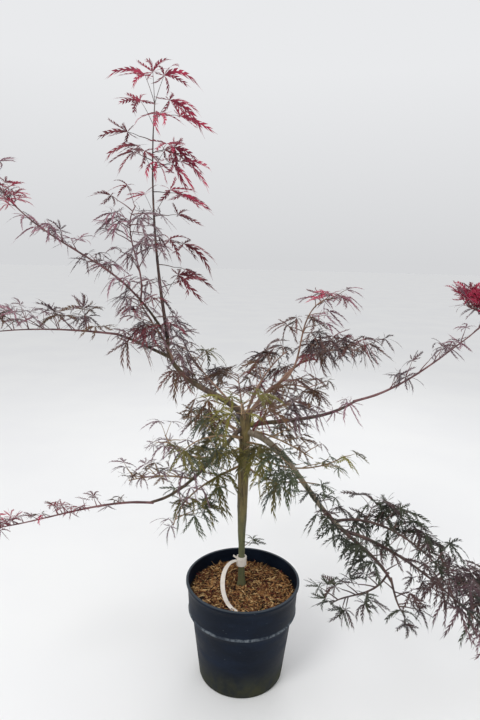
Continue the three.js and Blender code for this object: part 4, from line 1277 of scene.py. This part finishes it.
def make_chips():
    """Bark chips of several tints, and fine fibres between them."""
    draw = np.random.default_rng(CHIP_SEED)
    for tint, dark, light, share in CHIP_TINTS:
        count = round(CHIP_COUNT * share)
        large = chip_shapes(draw, count // 3, *LARGE_CHIP)
        small = chip_shapes(draw, count - count // 3, *SMALL_CHIP)
        name = f"chips_{tint}"
        chips = np.concatenate([large, small])
        lay_splinters(draw, name, chips, CHIP_LIFT, earthy(name, dark, light, CHIP_GRAIN))
    fibres = chip_shapes(draw, FIBRE_COUNT, *FIBRE)
    finish = earthy("fibres", (140, 106, 68), (200, 166, 116), FIBRE_GRAIN)
    lay_splinters(draw, "fibres", fibres, FIBRE_LIFT, finish)


# ---- bark --------------------------------------------------------------------------------------


# Each bark: its slot, then the dark and light of its streaks, the colour and share of its patches,
# and the colour of its lower part.
BARKS = {
    "trunk": ("trunk_bark", (56, 47, 33), (110, 95, 62), (146, 130, 70), 0.4, (96, 106, 76)),
    "bough": ("bough_bark", (48, 36, 32), (96, 76, 62), (92, 88, 54), 0.3, (96, 76, 62)),
    "grey": ("grey_bark", (92, 82, 72), (146, 132, 114), (118, 114, 88), 0.3, (132, 120, 104)),
    "tan": ("bough_bark", (88, 62, 58), (140, 108, 98), (112, 96, 72), 0.3, (132, 104, 86)),
    "dark": ("grey_bark", (50, 34, 36), (88, 62, 62), (84, 76, 58), 0.3, (88, 62, 62)),
}
BARK_LOW = (0.5, 0.34)     # heights in metres between which the lower part's colour comes in
BARK_STEP = 3
TRUNK_SIDES = 40
BOUGH_SIDES = 24
TRUNK_SEED = 1
BARK_WAVES = ((2, 160, 0.9), (3, 90, 0.7), (5, 60, 0.5), (8, 38, 0.35), (11, 24, 0.25))
BUD_RING = 1.6             # how high and wide an old bud ring is, of the relief's depth and in mm
RING_WANDER = 0.25         # how far a bud ring may be from its place, of their spacing
TRUNK_RELIEF = 0.28
BOUGH_RELIEF = 0.05        # of the bough's tip radius
TRUNK_RINGS = 75
BOUGH_RINGS = 46
BOUGH_TIP_SHARE = 0.85


def bark_relief(points, sides, seed, depth, ring_spacing):
    """How far the bark stands out at each corner: long ridges, soft lumps and old bud rings."""
    draw = np.random.default_rng(seed)
    run = np.concatenate([[0], np.cumsum(np.linalg.norm(np.diff(points, axis=0), axis=1))])[:, None]
    turns = np.linspace(0, 2 * np.pi, sides, endpoint=False)
    relief = np.zeros((len(points), sides))
    for lobes, wave, share in BARK_WAVES:
        phase, drift = draw.uniform(0, 2 * np.pi, 2)
        relief += share * np.cos(lobes * turns + phase + 2 * np.pi * run / wave + drift)
    for place in np.arange(ring_spacing, run[-1, 0], ring_spacing):
        place += draw.uniform(-RING_WANDER, RING_WANDER) * ring_spacing
        relief += BUD_RING * np.exp(-((run - place) / BUD_RING) ** 2)
    return depth * relief


def bark_piece(limb, tip_share, sides, seed, depth, ring_spacing, finish):
    """A limb in its bark, whose tip is drawn in to meet the next stem's foot."""
    points, radii = smooth_path(limb.points, limb.radii, BARK_STEP)
    radii = radii * np.linspace(1, tip_share, len(radii))
    relief = bark_relief(points, sides, seed, depth, ring_spacing)
    return make_piece(f"{limb.name}_bark", *tube(points, radii[:, None] + relief, sides), finish)


def make_bark():
    finishes = {name: bark(f"{name}_bark", *recipe) for name, (_, *recipe) in BARKS.items()}
    trunk = bark_piece(limbs["trunk"], 1, TRUNK_SIDES, TRUNK_SEED, TRUNK_RELIEF, TRUNK_RINGS,
                       finishes["trunk"])
    add_piece(trunk, "trunk_bark", "trunk")
    for seed, spec in enumerate(BOUGHS, start=TRUNK_SEED + 1):
        depth = BOUGH_RELIEF * spec.radius[1]
        piece = bark_piece(limbs[spec.name], BOUGH_TIP_SHARE, BOUGH_SIDES, seed, depth,
                           BOUGH_RINGS, finishes[spec.bark])
        add_piece(piece, BARKS[spec.bark][0], spec.name)


# ---- twigs and leaves --------------------------------------------------------------------------


TWIG_FORM = ((1.35, 0.9), 0.04, 6, 5)      # radii at both ends, bow, sides and steps
STALK_FORM = ((0.75, 0.5), 0.05, 4, 4)
STEM_STEP = 6
STEM_SIDES = 8
NODE_SWELLING = 0.12
NODE_SHARPNESS = 8         # the larger it is, the shorter the swellings are
STEM_TAPER = 0.45


def stem_tube(growth):
    """The leafy stem itself, with a slight swelling at each leaf pair."""
    limb = growth.stem
    points, radii = smooth_path(limb.points, limb.radii, STEM_STEP)
    start = points[0] - (points[1] - points[0])
    points, radii = np.vstack([start, points]), np.concatenate([[radii[0]], radii])
    share = np.linspace(0, 1, len(points))
    nodes = np.cos(2 * np.pi * share * growth.mass.length / HABITS[growth.mass.habit].spacing)
    nodes = nodes ** NODE_SHARPNESS
    taper = 1 - STEM_TAPER * share
    return tube(points, radii * taper * (1 + NODE_SWELLING * nodes), STEM_SIDES)


def rods(pairs, radii, bow, sides, steps):
    """Slender rods between pairs of places, each bowed up a little in the middle."""
    starts, ends = np.array(pairs).transpose(1, 0, 2)
    foot_radius, tip_radius = radii
    along = ends - starts
    length = np.linalg.norm(along, axis=1)[:, None]
    along = along / length
    across = np.cross(UP, along)
    level = np.linalg.norm(across, axis=1)[:, None]
    across = np.where(level > 0.05, across / np.maximum(level, 1e-6), [1.0, 0, 0])
    other = np.cross(along, across)
    share = np.linspace(0, 1, steps + 1)
    centres = (starts[:, None] + (ends - starts)[:, None] * share[:, None]
               + UP * (bow * length * np.sin(np.pi * share))[..., None])
    radii = foot_radius + (tip_radius - foot_radius) * share
    turns = np.linspace(0, 2 * np.pi, sides, endpoint=False)
    ring = across[:, None] * np.cos(turns)[:, None] + other[:, None] * np.sin(turns)[:, None]
    corners = centres[:, :, None] + ring[:, None] * radii[:, None, None]
    faces = grid_faces(steps + 1, sides)
    shifts = (steps + 1) * sides * np.arange(len(starts))[:, None, None]
    return corners.reshape(-1, 3), (faces + shifts).reshape(-1, 4)


def make_shoots():
    """Stems, twigs and leaf stalks, joined by the colour of their skin."""
    for tint, (dark, light) in SHOOT_TINTS.items():
        group = [growth for growth in everything if growth.mass.shoot == tint]
        twigs = [twig[:2] for growth in group for twig in growth.twigs]
        stalks = [(leaf.root, leaf.centre) for growth in group for leaf in growth.leaves]
        parts = [stem_tube(growth) for growth in group if isinstance(growth.mass, Mass)]
        parts += [rods(twigs, *TWIG_FORM), rods(stalks, *STALK_FORM)]
        finish = shoot_skin(f"shoot_skin_{tint}", dark, light)
        shoots = make_piece(f"shoots_{tint}", *merged(parts), finish)
        add_piece(shoots, "bough_bark", *sorted({growth.mass.name for growth in group}))


class Rib(NamedTuple):
    """The course of a lobe's rib from the leaf's centre, where the longest lobe is about 1 long."""
    angle: float
    length: float
    bend: float
    stand: float
    twist: float

    def corner(self, s, offset):
        """The place (forward, sideways, lift) at the share `s` of the rib and `offset` to its
        left."""
        turn = math.radians(self.angle + self.bend * s * s)
        sideways = offset * math.cos(self.twist)
        lift = offset * math.sin(self.twist) + RIBBON_FOLD * abs(offset)
        lift += self.stand * self.length * s
        x = self.length * s * math.cos(turn) - sideways * math.sin(turn)
        y = self.length * s * math.sin(turn) + sideways * math.cos(turn)
        return x, y, lift


def lobe_rib(variant, lobe):
    """A lobe's rib, a little different in each variant."""
    return Rib(
        LEAF_ANGLES[lobe] + swing(LOBE_ANGLE_RANGE, variant, lobe, 1),
        LEAF_SHARES[lobe] * vary(*LOBE_SIZES, variant, lobe, 2),
        swing(LOBE_BEND_RANGE, variant, lobe, 3),
        LOBE_STAND * (chance(variant, lobe, 4) - 0.4),
        math.radians(swing(LOBE_TWIST, variant, lobe, 5)),
    )


def leaf_blade(variant, fullness):
    """Corners and triangles of a seven-lobed cut leaf. Each lobe is a slender ribbon round its
    rib, with narrow teeth that point forward and a drawn-out tip. `fullness` scales the ribbon's
    width and the teeth."""
    points = [(0.0, 0.0, 0.0)]
    faces = []
    for lobe, teeth in enumerate(LEAF_TEETH):
        rib = lobe_rib(variant, lobe)
        stations = np.linspace(*RIB_SPAN, teeth + 1)
        step = stations[1] - stations[0]
        widths = fullness * rib.length * RIB_WIDTH * (RIB_TAPER - stations)
        middle = len(points)
        points += [rib.corner(s, 0) for s in (*stations, 1)]
        tip = len(points) - 1
        for hand in (1, -1):
            edge = len(points)
            points += [rib.corner(s, hand * width) for s, width in zip(stations, widths)]
            sheet = [(0, middle, edge), (tip - 1, tip, edge + teeth)]
            for j, width in enumerate(widths[:-1]):
                drift = swing(TOOTH_RANGE, variant, lobe, j, 6 + hand)
                s = stations[j] + step * (TOOTH_PLACE + TOOTH_SHIFT * hand + drift)
                bulge = math.sin(math.pi * (0.12 + 0.8 * s)) ** 0.8
                swell = bulge * (fullness * vary(*TOOTH_SIZES, variant, lobe, j, 8 + hand))
                reach = rib.length * TOOTH_REACH * swell
                foot = len(points)
                points += [rib.corner(s + along * step, hand * (near * width + out * reach))
                           for along, near, out in TOOTH_FORM]
                a, b = middle + j, edge + j
                sheet += [(a, a + 1, b + 1), (a, b + 1, b)]
                sheet += [(foot, foot + 1, foot + 3), (foot, foot + 3, foot + 2)]
            faces += sheet if hand > 0 else [(a, c, b) for a, b, c in sheet]
    return np.array(points), np.array(faces)


def leaf_meshes(leaves, first_key, fullness):
    """Corners and triangles of many leaves, their lobes arching down from the stalk's end."""
    parts = []
    first_droop, more_droop = DROOP_SIZES
    for variant in range(VARIANT_COUNT):
        group = [leaf for k, leaf in enumerate(leaves)
                 if int(VARIANT_COUNT * chance(first_key, k)) == variant]
        if not group:
            continue
        blade, faces = leaf_blade(variant, fullness)
        length = np.array([leaf.length for leaf in group])[:, None, None]
        x, y, z = (blade[:, i, None] for i in range(3))
        centre, forward, side, normal = (
            np.array([getattr(leaf, name) for leaf in group])[:, None]
            for name in ("centre", "forward", "side", "normal")
        )
        rolls = [swing(LEAF_ROLL, first_key, variant, k) for k in range(len(group))]
        roll = np.radians(rolls)[:, None, None]
        across = side * np.cos(roll) + normal * np.sin(roll)
        above = normal * np.cos(roll) - side * np.sin(roll)
        reach = np.hypot(x, y)
        share = first_droop + more_droop * variant
        droop = LOBE_DROOP * share * reach ** 2 - LOBE_RISE * reach
        corners = centre + length * (forward * x + across * y + above * z - UP * droop)
        shifts = len(blade) * np.arange(len(group))[:, None, None]
        parts.append((corners.reshape(-1, 3), (faces + shifts).reshape(-1, 3)))
    return merged(parts)


def make_leaves():
    """Leaves joined by tint, in pieces of a few hundred."""
    for key, (tint, (slot, fullness, main, deep, light)) in enumerate(LEAF_TINTS.items()):
        finish = leaf_skin(f"leaf_{tint}", main, deep, light)
        owners = [(leaf, growth.mass.name) for growth in everything for leaf in growth.leaves
                  if leaf.tint == tint]
        for part, first in enumerate(range(0, len(owners), LEAVES_PER_PIECE), start=1):
            batch = owners[first:first + LEAVES_PER_PIECE]
            blades = leaf_meshes([leaf for leaf, _ in batch], key, fullness)
            leaves = make_piece(f"leaves_{tint}_{part}", *blades, finish)
            add_piece(leaves, slot, *sorted({name for _, name in batch}))


# ---- label -------------------------------------------------------------------------------------


def bezier(corners, count):
    a, b, c, d = (np.array(corner, float) for corner in corners)
    t = np.linspace(0, 1, count)[:, None]
    return a * (1 - t) ** 3 + 3 * b * t * (1 - t) ** 2 + 3 * c * t ** 2 * (1 - t) + d * t ** 3


def ribbon(points, width, thickness):
    """A strap along the points, its width level and its edges rounded."""
    ahead = np.gradient(points, axis=0)
    side = np.cross(UP, ahead)
    side /= np.linalg.norm(side, axis=1)[:, None]
    normal = np.cross(ahead, side)
    normal /= np.linalg.norm(normal, axis=1)[:, None]
    turns = np.linspace(0, 2 * np.pi, RIBBON_SIDES, endpoint=False)
    flat = np.sign(np.cos(turns)) * np.abs(np.cos(turns)) ** 0.35 * width / 2
    thin = np.sign(np.sin(turns)) * np.abs(np.sin(turns)) ** 0.7 * thickness / 2
    rings = points[:, None] + side[:, None] * flat[:, None] + normal[:, None] * thin[:, None]
    return closed_ends(points, rings)


def make_label():
    """A blank loop-lock label: a sleeve round the trunk, a short tab and a strap to the medium."""
    share = (LABEL_HEIGHT - MEDIUM_LEVEL) / (TRUNK_TOP_HEIGHT - MEDIUM_LEVEL)
    cx = TRUNK_FOOT[0] - TRUNK_BOW * math.sin(math.pi * share)
    cy = TRUNK_FOOT[1] - TRUNK_LEAN * share
    inner = TRUNK_RADIUS + 2 * FIT_GAP
    outer = inner + LABEL_COLLAR_WALL
    half = LABEL_COLLAR_TALL / 2
    edge = LABEL_EDGE
    ring = [
        (inner, -half + edge), *arc((inner + edge, -half + edge), edge, 180, 270),
        *arc((outer - edge, -half + edge), edge, -90, 0), (outer - LABEL_WAIST, 0),
        *arc((outer - edge, half - edge), edge, 0, 90),
        *arc((inner + edge, half - edge), edge, 90, 180), (inner, -half + edge),
    ]
    sleeve_points, sleeve_faces = lathe(ring, LABEL_SIDES)
    turn = np.arctan2(sleeve_points[:, 1], sleeve_points[:, 0])
    reach = np.hypot(sleeve_points[:, 0], sleeve_points[:, 1])
    lap = LABEL_LAP * np.exp(-((turn - LABEL_LAP_TURN) / LABEL_LAP_SPREAD) ** 2)
    lap = lap * (reach > inner + LABEL_WAIST)
    sleeve_points[:, :2] *= (1 + lap / reach)[:, None]
    sleeve = (sleeve_points + [cx, cy, LABEL_HEIGHT], sleeve_faces)
    rest = MEDIUM_LEVEL + LABEL_STRAP_THICKNESS / 2 + FIT_GAP
    foot = (cx - outer + 1, cy - 3, LABEL_HEIGHT)
    x_end, y_end = LABEL_STRAP_REACH
    route = bezier([foot, (LABEL_STRAP_BULGE, foot[1] - 10, LABEL_HEIGHT + 4),
                    (LABEL_STRAP_BULGE, y_end + 26, rest + 2), (x_end, y_end, rest)],
                   LABEL_STRAP_STEPS)
    strap = ribbon(route, LABEL_STRAP_WIDTH, LABEL_STRAP_THICKNESS)
    tilt = direction(180, LABEL_TAB_TILT) * LABEL_TAB_LENGTH
    tab_start = np.array([cx - outer + 4, cy, LABEL_HEIGHT + 4])
    tab_route = np.linspace(tab_start, tab_start + tilt, LABEL_TAB_STEPS)
    tab = ribbon(tab_route, LABEL_TAB_WIDTH, LABEL_STRAP_THICKNESS + 0.6)
    label = make_piece("blank_label", *merged([sleeve, strap, tab]), label_plastic())
    add_piece(label, "label", "plant_label")


# ---- floor, light and camera -------------------------------------------------------------------

CAMERA_PLACE = (0, -1.2531, 1.0568)
CAMERA_SENSOR = 36
CAMERA_LENS = 26.98
CAMERA_DIP = 10.54
CAMERA_HEADING = -0.93
CAMERA_ROLL = 1.37
SKY_LOW = (213, 214, 216)
SKY_HIGH = (233, 234, 236)
SKY_TOP = 0.3
FLOOR_RADII = (0, 2000, 60000)
FLOOR_SIDES = 64
FLOOR_TINTS = ((235, 235, 235), (238, 238, 237))
# Each light: its name, its place and size in metres, and its power in watts.
LIGHTS = [
    ("key", (-1.3, -1.9, 3.2), 1.2, 44),
    ("fill", (2.2, -1.4, 1.7), 1.8, 6),
    ("back", (0.6, 2.4, 2.6), 1.6, 16),
]
LIGHT_AIM = (0, 0, 0.7)


def make_floor():
    finish = Finish("pale_floor", 0.9, 0)
    cloud = finish.band(finish.noise(1.6, detail=2), 0.3, 0.7)
    finish.set("Base Color", finish.mix(cloud, *FLOOR_TINTS))
    points, faces = lathe([(radius, 0) for radius in FLOOR_RADII], FLOOR_SIDES)
    floor = make_piece("floor", points, faces, finish)


def add_light(name, place, size, power):
    data = bpy.data.lights.new(name, "AREA")
    data.shape = "DISK"
    data.size = size
    data.energy = power
    light = bpy.data.objects.new(name, data)
    light.location = place
    aim = Vector(LIGHT_AIM) - Vector(place)
    light.rotation_euler = aim.to_track_quat("-Z", "Y").to_euler()
    bpy.context.scene.collection.objects.link(light)


def make_lights():
    world = bpy.data.worlds.new("studio")
    sky = Nodes(world, "Background")
    view = sky.node("ShaderNodeTexCoord", output="Generated")
    height = sky.node("ShaderNodeSeparateXYZ", None, [view], "Z")
    rise = sky.node("ShaderNodeMapRange", None, {"Value": height, "From Max": SKY_TOP})
    sky.set("Color", sky.mix(rise, SKY_LOW, SKY_HIGH))
    bpy.context.scene.world = world
    for light in LIGHTS:
        add_light(*light)


def make_camera():
    data = bpy.data.cameras.new("camera")
    data.sensor_fit = "VERTICAL"
    data.sensor_height = CAMERA_SENSOR
    data.lens = CAMERA_LENS
    camera = bpy.data.objects.new("camera", data)
    heading, dip, roll = (math.radians(a) for a in (CAMERA_HEADING, CAMERA_DIP, CAMERA_ROLL))
    level_reach = math.cos(dip)
    forward = Vector((math.sin(heading) * level_reach, math.cos(heading) * level_reach,
                      -math.sin(dip)))
    level = Vector((math.cos(heading), -math.sin(heading), 0))
    above = level.cross(forward)
    right = level * math.cos(roll) + above * math.sin(roll)
    upward = above * math.cos(roll) - level * math.sin(roll)
    turn = Matrix((right, upward, -forward)).transposed()
    camera.matrix_world = Matrix.Translation(CAMERA_PLACE) @ turn.to_4x4()
    bpy.context.scene.collection.objects.link(camera)
    bpy.context.scene.camera = camera


# ---- the whole plant ---------------------------------------------------------------------------

plastic = pot_plastic()
make_pot()
make_medium()
make_chips()
make_bark()
make_shoots()
make_leaves()
make_label()
make_floor()
make_lights()
make_camera()
bpy.context.scene.view_settings.view_transform = "Standard"
